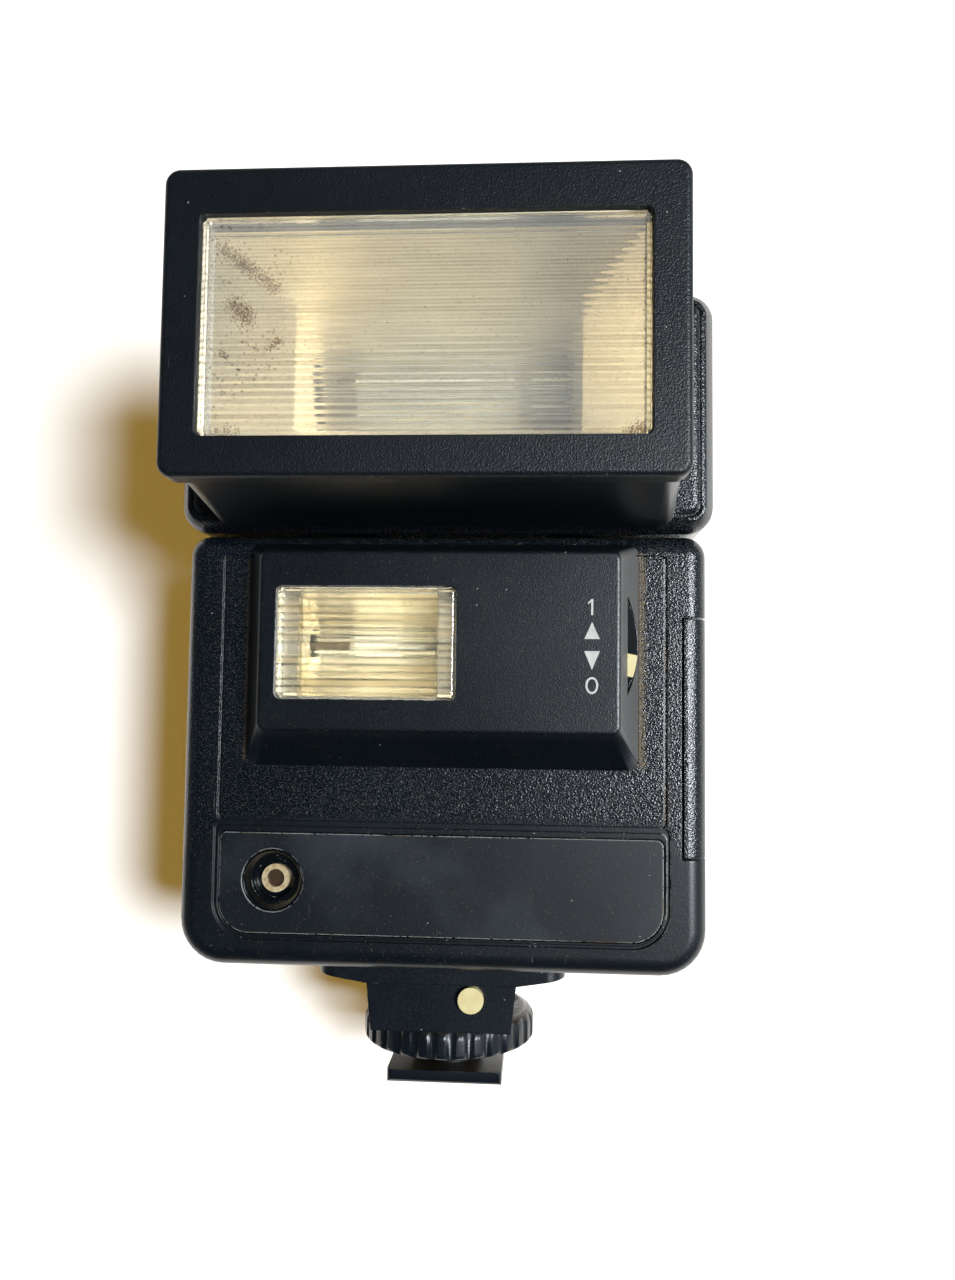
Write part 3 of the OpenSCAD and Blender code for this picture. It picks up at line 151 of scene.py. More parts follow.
def newGroup(name, inputs, outputs, kind="ShaderNodeTree"):
    tree = bpy.data.node_groups.new(name, kind)
    for label, socketKind in inputs:
        tree.interface.new_socket(label, in_out="INPUT", socket_type=socketKind)
    for label, socketKind in outputs:
        tree.interface.new_socket(label, in_out="OUTPUT", socket_type=socketKind)
    given = tree.nodes.new("NodeGroupInput").outputs
    out = tree.nodes.new("NodeGroupOutput").inputs
    return tree, given, out


def useGroup(tree, group, values):
    return addNode(tree, "ShaderNodeGroup", values, node_tree=group).outputs


# in the settings of finishes a noise is scale per metre, detail and roughness, and a range is from and to
# moulded grain: a height for the bump, and a mask of its tips that carries a painted glint, a painted highlight,
# on a scale that follows the pitch
grainSet = {"fine": (1.5, 0.55), "tips": (1.0, 0.5), "tipScale": 1.45, "tipRange": (0.56, 0.72), "level": 0.5}


def grainGroup(g):
    tree, given, out = newGroup("mouldedGrain", [("Pitch", floatKind), ("Depth", floatKind)],
                                [("Height", floatKind), ("PaintedSparkle", floatKind)])
    spot = objectSpot(tree)
    scale = sums(tree, "DIVIDE", 1 / mm, given["Pitch"])
    fine = noise(tree, spot, scale, *g["fine"])
    tips = noise(tree, spot, times(tree, scale, g["tipScale"]), *g["tips"])
    tree.links.new(times(tree, sums(tree, "SUBTRACT", fine, g["level"]), given["Depth"]), out["Height"])
    # painted highlight: the tips of the grain, where a pale painted glint is laid
    tree.links.new(times(tree, mapTo(tree, tips, *g["tipRange"]), given["Depth"]), out["PaintedSparkle"])
    return tree


# edges rubbed bare in broken lines, and a softened normal there
wearSet = {"samples": 6, "edgeRange": (0.95, 0.80), "coarse": (300.0, 3.0, 0.6), "fine": (2100.0, 2.0, 0.6),
           "most": 0.42, "perAmount": 0.25, "blur": 0.04, "ochre": (150.0, 2.0), "ochreRange": (0.55, 0.68)}


def wearGroup(w):
    tree, given, out = newGroup("edgeWear", [("Radius", floatKind), ("Amount", floatKind)],
                                [("Mask", floatKind), ("Ochre", floatKind), ("Normal", vectorKind)])
    spot = objectSpot(tree)
    face = addNode(tree, "ShaderNodeNewGeometry").outputs["Normal"]
    radius = times(tree, given["Radius"], mm)
    soft = addNode(tree, "ShaderNodeBevel", {"Radius": radius}, samples=w["samples"]).outputs[0]
    dot = addNode(tree, "ShaderNodeVectorMath", {0: soft, 1: face}, operation="DOT_PRODUCT").outputs["Value"]
    edge = mapTo(tree, dot, *w["edgeRange"])
    broken = times(tree, noise(tree, spot, *w["coarse"]), noise(tree, spot, *w["fine"]))
    limit = sums(tree, "SUBTRACT", w["most"], times(tree, given["Amount"], w["perAmount"]))
    bare = mapTo(tree, broken, limit, sums(tree, "ADD", limit, w["blur"]))
    tree.links.new(times(tree, edge, bare), out["Mask"])
    tree.links.new(mapTo(tree, noise(tree, spot, *w["ochre"]), *w["ochreRange"]), out["Ochre"])
    tree.links.new(soft, out["Normal"])
    return tree


# pale specks, a cloudy film, and dust that lies on what faces up
dustSet = {"core": 0.4, "perAmount": 0.2, "cloud": (160.0, 6.0, 0.65), "cloudRange": (0.42, 0.75),
           "cloudShow": 0.012, "upRange": (0.35, 0.9), "patches": (500.0, 5.0, 0.7),
           "patchRange": (0.3, 0.6, 0.35, 1.0)}


def dustGroup(d):
    inputs = [(label, floatKind) for label in ("Amount", "Size", "Settled", "Cells")]
    tree, given, out = newGroup("dust", inputs, [("Specks", floatKind), ("Film", floatKind)])
    spot = objectSpot(tree)
    cells = addNode(tree, "ShaderNodeTexVoronoi", {"Vector": spot, "Scale": given["Cells"]}).outputs
    chance = addNode(tree, "ShaderNodeSeparateColor", {0: cells["Color"]}).outputs[0]
    size = times(tree, given["Size"], chance)
    near = mapTo(tree, cells["Distance"], size, times(tree, size, d["core"]))
    limit = sums(tree, "SUBTRACT", 1.0, times(tree, given["Amount"], d["perAmount"]))
    tree.links.new(times(tree, near, sums(tree, "GREATER_THAN", chance, limit)), out["Specks"])
    cloud = mapTo(tree, noise(tree, spot, *d["cloud"]), *d["cloudRange"])
    lying = times(tree, mapTo(tree, parts(tree, faceNormal(tree))[2], *d["upRange"]), given["Settled"])
    lying = times(tree, lying, mapTo(tree, noise(tree, spot, *d["patches"]), *d["patchRange"]))
    tree.links.new(sums(tree, "MAXIMUM", times(tree, cloud, d["cloudShow"]), lying), out["Film"])
    return tree


# a few straight hair scratches, in two directions; each way is a turn and a shift
scratchSet = {"ways": ((0.9, 0.0), (-0.55, 0.4)), "stretch": (2600, 2600, 150), "line": (1.0, 0.0),
              "lineRange": (0.82, 0.87), "places": (55.0, 1.0), "placeRange": (0.58, 0.66)}


def scratchGroup(s):
    tree, given, out = newGroup("fineScratches", [("Amount", floatKind)], [("Mask", floatKind)])
    spot = objectSpot(tree)
    most = 0.0
    for turn, shift in s["ways"]:
        lay = mapping(tree, spot, Rotation=(0, turn, 0), Scale=s["stretch"])
        thin = mapTo(tree, noise(tree, lay, *s["line"]), *s["lineRange"])
        place = mapping(tree, spot, Location=(shift, 0, shift))
        few = mapTo(tree, noise(tree, place, *s["places"]), *s["placeRange"])
        most = sums(tree, "MAXIMUM", most, times(tree, thin, few))
    tree.links.new(times(tree, most, given["Amount"]), out["Mask"])
    return tree


# dirt gathered along a straight line, or round a point where both ends are the same
gatheredSet = {"core": 0.15, "grit": (4200.0, 2.0, 0.6), "gritRange": (0.68, 0.72), "pull": 0.26,
               "tiny": 1e-12}


def gatheredGroup(g):
    inputs = [("From", vectorKind), ("To", vectorKind), ("Reach", floatKind)]
    tree, given, out = newGroup("gatheredDirt", inputs, [("Mask", floatKind)])
    spot = objectSpot(tree)

    def vector(operation, a, b, output="Vector"):
        return addNode(tree, "ShaderNodeVectorMath", {0: a, 1: b}, operation=operation).outputs[output]

    run = vector("SUBTRACT", given["To"], given["From"])
    along = vector("DOT_PRODUCT", vector("SUBTRACT", spot, given["From"]), run, "Value")
    square = vector("DOT_PRODUCT", run, run, "Value")
    share = sums(tree, "DIVIDE", along, sums(tree, "ADD", square, g["tiny"]))
    share = sums(tree, "MINIMUM", sums(tree, "MAXIMUM", share, 0.0), 1.0)
    away = vector("DISTANCE", spot, vector("ADD", given["From"], scaled(tree, run, share)), "Value")
    reach = times(tree, given["Reach"], mm)
    near = mapTo(tree, away, reach, times(tree, reach, g["core"]))
    grit = sums(tree, "ADD", noise(tree, spot, *g["grit"]), times(tree, near, g["pull"]))
    tree.links.new(mapTo(tree, grit, *g["gritRange"]), out["Mask"])
    return tree


grain, wear, dust = grainGroup(grainSet), wearGroup(wearSet), dustGroup(dustSet)
scratches, gathered = scratchGroup(scratchSet), gatheredGroup(gatheredSet)
print("shared effects made")


def newMaterial(name):
    material = bpy.data.materials.new(name + "_finish")
    material.use_nodes = True
    tree = material.node_tree
    return material, tree, tree.nodes["Principled BSDF"]


def rgba(colour):
    return (*colour, 1.0)


def metres(point):
    return tuple(v * mm for v in point)


# each spot is start, end and reach in mm, and an amount
def gatheredMask(tree, spots):
    mask = 0.0
    for start, end, reach, amount in spots:
        one = useGroup(tree, gathered, {"From": metres(start), "To": metres(end), "Reach": reach})["Mask"]
        mask = sums(tree, "MAXIMUM", mask, times(tree, one, amount))
    return mask


# black plastics; pitch and depth of the grain, edge and dirt in mm
# on a zoned one, pitch and roughness are those of fine and of coarse faces
# the glint is a painted highlight on the tips of the grain; the X entry is from and to where on X it fades
# towards the left, a painted shade on the side away from the light, and the share of it kept at the left
plastics = {
    "case_plastic": {
        "colour": (0.0016, 0.0040, 0.0068), "rough": (0.33, 0.18), "gleam": 0.5, "zoned": True,
        "pitch": (0.18, 0.26), "depth": 0.079, "paintedSparkle": 0.9, "paintedShadeX": (-38.0, -6.0, 0.4),
        "wear": 0.12, "edge": 0.27, "specks": 0.35, "settled": 0.0, "scratch": 0.3,
        "dirt": [((30.1, -23.0, 52.5), (30.1, -23.0, 83.5), 1.15, 0.95),
                 ((-30.0, -23.0, 52.5), (-30.0, -23.0, 83.5), 0.6, 0.25)]},
    # cloud is how much painted sheen, lighter bluish clouds, lies on the satin plastic
    "satin_plastic": {
        "colour": (0.0018, 0.0046, 0.0082), "rough": 0.41, "gleam": 0.5,
        "pitch": 0.20, "depth": 0.010, "paintedSparkle": 0.0, "cloud": 0.4,
        "wear": 1.0, "edge": 0.34, "specks": 0.30, "settled": 0.0, "scratch": 0.3,
        "dirt": [((-24.2, -23.0, 41.2), (-24.2, -23.0, 41.5), 0.30, 1.0)]},
    "bezel_plastic": {
        "colour": (0.0014, 0.0032, 0.0054), "rough": 0.36, "gleam": 0.44,
        "pitch": 0.22, "depth": 0.066, "paintedSparkle": 0.12,
        "wear": 0.12, "edge": 0.22, "specks": 0.45, "settled": 0.0, "scratch": 0.5},
    "gloss_plastic": {
        "colour": (0.0020, 0.0035, 0.0050), "rough": 0.17, "gleam": 0.5,
        "pitch": 0.20, "depth": 0.004, "paintedSparkle": 0.0,
        "wear": 0.40, "edge": 0.14, "specks": 0.30, "settled": 0.0, "scratch": 0.2},
    "foot_plastic": {
        "colour": (0.0018, 0.0044, 0.0078), "rough": 0.29, "gleam": 0.5,
        "pitch": 0.20, "depth": 0.024, "paintedSparkle": 0.2,
        "wear": 0.16, "edge": 0.18, "specks": 0.55, "settled": 0.40, "scratch": 0.2},
}
plasticSet = {"tone": (45.0, 4.0), "shadeRange": (0.3, 0.7, 0.85, 1.18), "cloudRange": (0.46, 0.66),
              "roughRange": (0.25, 0.75, -0.03, 0.05), "zoneRange": (0.3, 1.0), "dullRough": 0.35,
              "speckSize": 0.10, "speckCells": 700.0, "scratchShow": 0.4}
# colours of wear and dust, and of painted light: the glint is a painted highlight on the grain tips, the cloud a
# painted sheen on the satin plastic, the film a painted sheen on the wall of the fill housing that faces the
# light
wearAndPaintedLight = {"pale": (0.62, 0.61, 0.57), "ochre": (0.30, 0.20, 0.085), "dust": (0.125, 0.085, 0.038),
        "speck": (0.34, 0.34, 0.32), "paintedSparkle": (0.10, 0.105, 0.11), "cloud": (0.045, 0.055, 0.062),
        "paintedSheen": (0.165, 0.160, 0.155)}
# the front case is smooth below these heights, in the middle and at its sides, in mm
smoothZone = {"middle": 43.5, "sides": 38.7, "sideX": 35.0, "backY": 2.0, "soft": 1.0, "depth": 0.2}
# painted light on the fill housing, in mm: a painted sheen, lighter grey, on its right wall, which faces the
# light; and painted highlights, pale through the edge wear, on its front edges and on the line beside it
housingPaintedLight = {"facing": (0.45, 0.75), "fromY": -23.35, "aboveZ": 52.0, "amount": 0.85, "cloud": (220.0, 4.0),
            "cloudRange": (0.25, 0.75, 0.8, 1.0), "highlightFrontY": -28.1, "wearAndHighlight": 0.8,
            "lineX": 33.9, "lineHalf": 0.7, "lineY": -21.5}


def coarseness(tree, spot, s):
    zone = addNode(tree, "ShaderNodeAttribute", attribute_name="grain").outputs["Fac"]
    x, y, z = parts(tree, spot)
    across = sums(tree, "ABSOLUTE", x)
    beside = mapTo(tree, across, (s["sideX"] - s["soft"]) * mm, (s["sideX"] + s["soft"]) * mm)
    limit = mapTo(tree, beside, 0.0, 1.0, s["middle"] * mm, s["sides"] * mm)
    under = mapTo(tree, sums(tree, "SUBTRACT", z, limit), s["soft"] * mm, -s["soft"] * mm)
    below = times(tree, under, sums(tree, "LESS_THAN", y, s["backY"] * mm))
    return zone, times(tree, zone, mapTo(tree, below, 0.0, 1.0, 1.0, s["depth"]))


# painted sheen on the right wall of the fill housing, and the places where painted highlights go: its front and
# the line beside it
def housingLightMasks(tree, spot, s):
    x, y, z = parts(tree, spot)
    facing = mapTo(tree, parts(tree, faceNormal(tree))[0], *s["facing"])
    raised = sums(tree, "LESS_THAN", y, s["fromY"] * mm)
    above = sums(tree, "GREATER_THAN", z, s["aboveZ"] * mm)
    cloud = mapTo(tree, noise(tree, spot, *s["cloud"]), *s["cloudRange"])
    mask = times(tree, times(tree, facing, raised), times(tree, above, cloud))
    front = sums(tree, "LESS_THAN", y, s["highlightFrontY"] * mm)
    offLine = sums(tree, "ABSOLUTE", sums(tree, "SUBTRACT", x, s["lineX"] * mm))
    onLine = sums(tree, "LESS_THAN", offLine, s["lineHalf"] * mm)
    onLine = times(tree, onLine, sums(tree, "LESS_THAN", y, s["lineY"] * mm))
    return times(tree, mask, s["amount"]), sums(tree, "MAXIMUM", front, onLine)


def plasticMaterial(name, p, s):
    material, tree, shader = newMaterial(name)
    spot = objectSpot(tree)
    depth, pitch, rough, wearAndHighlight = 1.0, p["pitch"], p["rough"], p["wear"]
    if "zoned" in p:
        zone, depth = coarseness(tree, spot, smoothZone)
        pitch = mapTo(tree, zone, *s["zoneRange"], *p["pitch"])
        rough = mapTo(tree, depth, *s["zoneRange"], *p["rough"])
        # painted highlights: the edge wear is raised on the fill housing's front and on the line beside it, so
        # their edges show pale
        paintedSheen, front = housingLightMasks(tree, spot, housingPaintedLight)
        wearAndHighlight = sums(tree, "ADD", p["wear"], times(tree, front, housingPaintedLight["wearAndHighlight"]))
    edges = useGroup(tree, wear, {"Radius": p["edge"], "Amount": wearAndHighlight})
    motes = useGroup(tree, dust, {"Amount": p["specks"], "Size": s["speckSize"], "Settled": p["settled"],
                                  "Cells": s["speckCells"]})
    lines = useGroup(tree, scratches, {"Amount": p["scratch"]})
    bumps = useGroup(tree, grain, {"Pitch": pitch, "Depth": depth})
    tone = noise(tree, spot, *s["tone"])
    base = scaled(tree, p["colour"], mapTo(tree, tone, *s["shadeRange"]))
    tips = times(tree, bumps["PaintedSparkle"], p["paintedSparkle"])
    # painted shade: the painted glint fades towards the left, the side away from the light
    if "paintedShadeX" in p:
        left, right, least = p["paintedShadeX"]
        tips = times(tree, tips, mapTo(tree, parts(tree, spot)[0], left * mm, right * mm, least, 1.0))
    # painted highlight: a pale painted glint on the tips of the grain
    base = blendColours(tree, tips, base, rgba(wearAndPaintedLight["paintedSparkle"]))
    # painted sheen: lighter bluish clouds laid on the base colour
    if "cloud" in p:
        cloud = times(tree, mapTo(tree, tone, *s["cloudRange"]), p["cloud"])
        base = blendColours(tree, cloud, base, rgba(wearAndPaintedLight["cloud"]))
    dull = motes["Film"]
    base = blendColours(tree, dull, base, rgba(wearAndPaintedLight["dust"]))
    # painted sheen: the right wall of the fill housing made lighter grey
    if "zoned" in p:
        base = blendColours(tree, paintedSheen, base, rgba(wearAndPaintedLight["paintedSheen"]))
    if "dirt" in p:
        soil = gatheredMask(tree, p["dirt"])
        base = blendColours(tree, soil, base, rgba(wearAndPaintedLight["dust"]))
        dull = sums(tree, "ADD", dull, soil)
    bare = blendColours(tree, edges["Ochre"], rgba(wearAndPaintedLight["pale"]), rgba(wearAndPaintedLight["ochre"]))
    base = blendColours(tree, times(tree, lines["Mask"], s["scratchShow"]), base, rgba(wearAndPaintedLight["pale"]))
    # edge wear, pale and ochre; on the fill housing also the painted highlights
    base = blendColours(tree, edges["Mask"], base, bare)
    base = blendColours(tree, motes["Specks"], base, rgba(wearAndPaintedLight["speck"]))
    tree.links.new(base, shader.inputs["Base Color"])
    rough = sums(tree, "ADD", rough, mapTo(tree, tone, *s["roughRange"]))
    rough = sums(tree, "ADD", rough, times(tree, sums(tree, "ADD", edges["Mask"], dull), s["dullRough"]))
    tree.links.new(rough, shader.inputs["Roughness"])
    shader.inputs["Specular IOR Level"].default_value = p["gleam"]
    bump = addNode(tree, "ShaderNodeBump", {"Strength": 1.0, "Distance": p["depth"] * mm,
                                            "Height": bumps["Height"], "Normal": edges["Normal"]})
    tree.links.new(bump.outputs[0], shader.inputs["Normal"])
    return material


materials = {name: plasticMaterial(name, p, plasticSet) for name, p in plastics.items()}
print("plastics made:", len(materials))

# clear pieces; behind the lens are brown marks: dirt, a thin brown line along its top edge, and a painted shade
# line where the tube's upper edge shows; grooves are the pitch and foot of the ribs, where darker lines lie,
# dirt and painted shade; in mm
lensDirtAndShade = [
    ((-25.5, -51.5, 118.5), (-19.0, -51.5, 113.5), 1.7, 0.75),
    ((-23.9, -51.5, 111.2), (-22.6, -51.5, 109.6), 2.3, 0.9),
    ((-19.4, -51.5, 106.0), (-18.3, -51.5, 106.6), 0.95, 1.0),
    ((-25.6, -51.5, 105.2), (-25.0, -51.5, 104.6), 0.9, 0.8),
    ((-27.6, -51.5, 94.6), (-24.0, -51.5, 94.8), 1.7, 0.75),
    ((28.2, -51.5, 94.6), (28.0, -51.5, 117.0), 1.0, 0.9),
    ((25.6, -51.5, 94.6), (28.0, -51.5, 95.6), 1.7, 0.9),
    # painted shade: a thin dark line at the height of the tube's upper edge, which shows through the lens
    ((-11.0, -51.5, 101.45), (17.5, -51.5, 101.45), 0.22, 0.5),
    # a thin brown line along the top edge of the lens
    ((-28.0, -51.5, 122.0), (27.0, -51.5, 122.1), 0.5, 0.35),
]
clears = {
    "lens_panel": {"colour": (0.975, 0.95, 0.88), "rough": 0.05, "ior": 1.49, "through": 0.90,
                   "grooveDirtAndShade": (0.9643, 94.85), "streak": (45, 45, 520), "soil": 0.55, "least": 0.35,
                   "dirt": lensDirtAndShade},
    "window_panel": {"colour": (0.985, 0.965, 0.89), "rough": 0.02, "ior": 1.49, "through": 0.985,
                     "grooveDirtAndShade": (1.0786, 62.4), "streak": (60, 60, 600), "soil": 0.72, "least": 0.0},
    "tube_glass": {"colour": (0.97, 0.985, 0.98), "rough": 0.03, "ior": 1.47, "through": 1.0},
    "dark_glass": {"colour": (0.12, 0.075, 0.045), "rough": 0.08, "ior": 1.5, "through": 0.5},
}
clearSet = {"haze": (130.0, 5.0), "hazeRange": (0.35, 0.75), "faded": 0.95, "roughRange": (0.3, 0.75),
            "roughMore": 0.06, "scratch": 0.6, "scratchRough": 0.25, "thin": 3.0,
            "streaks": (1.0, 3.0, 0.6), "streakRange": (0.35, 0.65), "brown": (0.13, 0.048, 0.003)}
# grains of dirt, thicker towards the left of the lens, in mm
lensGrains = {"amount": 2.2, "size": 0.42, "cells": 1500.0, "fromX": -8.0, "toX": -24.0,
              "patches": (130.0, 3.0), "patchRange": (0.40, 0.60)}


def clearMaterial(name, c, s, g):
    material, tree, shader = newMaterial(name)
    spot = objectSpot(tree)
    haze = noise(tree, spot, *s["haze"])
    lines = useGroup(tree, scratches, {"Amount": s["scratch"]})
    faded = [s["faded"] * v for v in c["colour"]]
    base = blendColours(tree, mapTo(tree, haze, *s["hazeRange"]), rgba(c["colour"]), rgba(faded))
    if "dirt" in c:
        base = blendColours(tree, gatheredMask(tree, c["dirt"]), base, rgba(s["brown"]))
        grains = useGroup(tree, dust, {"Amount": g["amount"], "Size": g["size"], "Settled": 0.0,
                                       "Cells": g["cells"]})
        thick = times(tree, mapTo(tree, parts(tree, spot)[0], g["fromX"] * mm, g["toX"] * mm),
                      mapTo(tree, noise(tree, spot, *g["patches"]), *g["patchRange"]))
        base = blendColours(tree, times(tree, grains["Specks"], thick), base, rgba(s["brown"]))
    # darker streaked lines along the rib grooves: dirt in the grooves, and painted shade for the light and dark
    # lines the ribs show
    if "grooveDirtAndShade" in c:
        pitch, foot = c["grooveDirtAndShade"]
        turn = times(tree, sums(tree, "SUBTRACT", parts(tree, spot)[2], foot * mm), 2 * pi / (pitch * mm))
        wave = sums(tree, "MULTIPLY_ADD", sums(tree, "COSINE", turn), 0.5, 0.5)
        grooveDirtAndShadeMask = sums(tree, "POWER", wave, s["thin"])
        streaks = noise(tree, mapping(tree, spot, Scale=c["streak"]), *s["streaks"])
        patch = mapTo(tree, streaks, *s["streakRange"], c["least"], 1.0)
        tone = sums(tree, "SUBTRACT", 1.0, times(tree, times(tree, grooveDirtAndShadeMask, patch), c["soil"]))
        base = scaled(tree, base, tone)
    tree.links.new(base, shader.inputs["Base Color"])
    rough = mapTo(tree, haze, *s["roughRange"], c["rough"], c["rough"] + s["roughMore"])
    rough = sums(tree, "ADD", rough, times(tree, lines["Mask"], s["scratchRough"]))
    tree.links.new(rough, shader.inputs["Roughness"])
    shader.inputs["Transmission Weight"].default_value = c["through"]
    shader.inputs["IOR"].default_value = c["ior"]
    return material


# bare metals; brush is how fine the streaks are each way, per metre, and ends and brightFrom are on X in mm;
# beyond the ends the fill reflector is darkened by endTone, a painted shade
metals = {
    "reflector_sheet": {"colour": (0.94, 0.87, 0.70), "dark": (0.82, 0.74, 0.57), "rough": 0.33,
                        "brush": (30, 400, 900)},
    "fill_sheet": {"colour": (0.98, 0.93, 0.77), "dark": (0.50, 0.40, 0.21), "rough": 0.25,
                   "brush": (25, 500, 1000), "dent": 0.4, "metal": 0.86,
                   "ends": (-20.9, -0.4), "endTone": 0.5},
    "steel": {"colour": (0.60, 0.60, 0.585), "dark": (0.42, 0.41, 0.39), "rough": 0.30,
              "brush": (300, 300, 300)},
    "black_steel": {"colour": (0.030, 0.031, 0.034), "dark": (0.018, 0.018, 0.02), "rough": 0.42,
                    "brush": (300, 300, 300)},
    "brass": {"colour": (0.80, 0.60, 0.33), "dark": (0.52, 0.36, 0.18), "rough": 0.38,
              "brush": (900, 900, 900)},
    "electrode": {"colour": (0.36, 0.28, 0.18), "dark": (0.20, 0.15, 0.09), "rough": 0.36,
                  "brush": (300, 300, 300), "bright": (0.98, 0.92, 0.74), "brightFrom": -10.65},
    "gilt_ring": {"colour": (0.95, 0.80, 0.50), "dark": (0.52, 0.33, 0.13), "rough": 0.30,
                  "brush": (1500, 1500, 1500), "metal": 0.35},
}
metalSet = {"streaks": (1.0, 5.0, 0.6), "darkRange": (0.35, 0.70), "roughRange": (0.3, 0.7),
            "roughLess": 0.05, "roughMore": 0.10, "metal": 1.0, "dent": 0.1, "dentDepth": 0.03}


def metalMaterial(name, m, s):
    material, tree, shader = newMaterial(name)
    spot = objectSpot(tree)
    streak = noise(tree, mapping(tree, spot, Scale=m["brush"]), *s["streaks"])
    base = blendColours(tree, mapTo(tree, streak, *s["darkRange"]), rgba(m["colour"]), rgba(m["dark"]))
    if "bright" in m:
        there = sums(tree, "GREATER_THAN", parts(tree, spot)[0], m["brightFrom"] * mm)
        base = blendColours(tree, there, base, rgba(m["bright"]))
    # painted shade: the fill reflector darker beyond its ends, where the window shows past it
    if "ends" in m:
        x = parts(tree, spot)[0]
        left, right = (v * mm for v in m["ends"])
        outer = sums(tree, "ADD", sums(tree, "LESS_THAN", x, left), sums(tree, "GREATER_THAN", x, right))
        base = scaled(tree, base, mapTo(tree, outer, 0.0, 1.0, 1.0, m["endTone"]))
    tree.links.new(base, shader.inputs["Base Color"])
    rough = mapTo(tree, streak, *s["roughRange"], m["rough"] - s["roughLess"], m["rough"] + s["roughMore"])
    tree.links.new(rough, shader.inputs["Roughness"])
    shader.inputs["Metallic"].default_value = m.get("metal", s["metal"])
    bump = addNode(tree, "ShaderNodeBump", {"Strength": m.get("dent", s["dent"]),
                                            "Distance": s["dentDepth"] * mm, "Height": streak})
    tree.links.new(bump.outputs[0], shader.inputs["Normal"])
    return material


# coloured plastics, rubber and print; edge in mm, caps is bare metal on the ends
paints = {
    "cream_plastic": {"colour": (0.86, 0.74, 0.38), "dark": (0.72, 0.58, 0.27), "rough": 0.33, "edge": 0.2},
    "orange_plastic": {"colour": (0.80, 0.24, 0.04), "dark": (0.60, 0.15, 0.03), "rough": 0.25, "edge": 0.2},
    "grommet_rubber": {"colour": (0.62, 0.60, 0.55), "dark": (0.50, 0.48, 0.43), "rough": 0.6, "edge": 0.2},
    "board_laminate": {"colour": (0.035, 0.13, 0.055), "dark": (0.025, 0.10, 0.045), "rough": 0.4,
                       "edge": 0.1},
    "cell_jacket": {"colour": (0.05, 0.06, 0.085), "dark": (0.035, 0.04, 0.06), "rough": 0.3, "edge": 0.2,
                    "caps": (0.56, 0.56, 0.54)},
    "capacitor_sleeve": {"colour": (0.02, 0.022, 0.04), "dark": (0.014, 0.016, 0.03), "rough": 0.3,
                         "edge": 0.2},
    "print_white": {"colour": (0.66, 0.66, 0.61), "dark": (0.42, 0.42, 0.39), "rough": 0.5, "edge": 0.05},
}
paintSet = {"wear": 0.1, "cloud": (700.0, 5.0, 0.65), "darkRange": (0.42, 0.80), "capRange": (0.8, 0.9),
            "roughRange": (0.3, 0.7), "roughMore": 0.12, "bump": 0.08, "bumpDepth": 0.05}


def paintMaterial(name, p, s):
    material, tree, shader = newMaterial(name)
    edges = useGroup(tree, wear, {"Radius": p["edge"], "Amount": s["wear"]})
    cloud = noise(tree, objectSpot(tree), *s["cloud"])
    base = blendColours(tree, mapTo(tree, cloud, *s["darkRange"]), rgba(p["colour"]), rgba(p["dark"]))
    if "caps" in p:
        facing = sums(tree, "ABSOLUTE", parts(tree, faceNormal(tree))[0])
        cap = mapTo(tree, facing, *s["capRange"])
        base = blendColours(tree, cap, base, rgba(p["caps"]))
        tree.links.new(cap, shader.inputs["Metallic"])
    tree.links.new(base, shader.inputs["Base Color"])
    rough = mapTo(tree, cloud, *s["roughRange"], p["rough"], p["rough"] + s["roughMore"])
    tree.links.new(rough, shader.inputs["Roughness"])
    bump = addNode(tree, "ShaderNodeBump", {"Strength": s["bump"], "Distance": s["bumpDepth"] * mm,
                                            "Height": cloud, "Normal": edges["Normal"]})
    tree.links.new(bump.outputs[0], shader.inputs["Normal"])
    return material


materials.update({name: clearMaterial(name, c, clearSet, lensGrains) for name, c in clears.items()})
materials.update({name: metalMaterial(name, m, metalSet) for name, m in metals.items()})
materials.update({name: paintMaterial(name, p, paintSet) for name, p in paints.items()})
print("materials made:", len(materials))


def meshObject(name, mesh, material):
    made = bpy.data.objects.new(name, mesh)
    scene.collection.objects.link(made)
    mesh.materials.clear()
    mesh.materials.append(material)
    return made


def plainMesh(made):
    old = made.data
    bpy.context.view_layer.update()
    state = bpy.context.evaluated_depsgraph_get()
    shown = made.evaluated_get(state)
    flat = bpy.data.meshes.new_from_object(shown, preserve_all_data_layers=True, depsgraph=state)
    made.modifiers.clear()
    made.data = flat
    bpy.data.meshes.remove(old)


def evenNormals(made, crease):
    made.data.shade_smooth()
    made.data.set_sharp_from_angle(angle=radians(crease))
    made.modifiers.new("even", "WEIGHTED_NORMAL").keep_sharp = True
    plainMesh(made)


# flat faces keep their own normal; least is area over rim in mm, which the strips of a fillet don't reach
def flatFaces(made, least):
    mesh = made.data
    normals = [corner.vector.copy() for corner in mesh.corner_normals]
    for face in mesh.polygons:
        rim = sum((mesh.vertices[a].co - mesh.vertices[b].co).length for a, b in face.edge_keys)
        if face.area > rim * least * mm:
            for i in face.loop_indices:
                normals[i] = face.normal.copy()
    mesh.normals_split_custom_set(normals)


# how coarse the grain is on the faces of the mouldings; places in mm
grainZones = {"housingY": -23.3, "frontFacing": -0.9, "housingFace": 0.42, "housingWall": 0.03,
              "lowerEdgeZ": 25.2, "lowerEdge": 0.12, "lampBoxY": -25.05, "lampBox": 0.05, "foot": 0.06}


def grainOf(node, middle, normal, g):
    y, z = (middle / mm).yz
    if node == "front_case":
        if y < g["housingY"]:
            return g["housingFace"] if normal.y < g["frontFacing"] else g["housingWall"]
        if z < g["lowerEdgeZ"]:
            return g["lowerEdge"]
    if node == "head_shell" and y < g["lampBoxY"]:
        return g["lampBox"]
    if node == "foot_block":
        return g["foot"]
    return 1.0


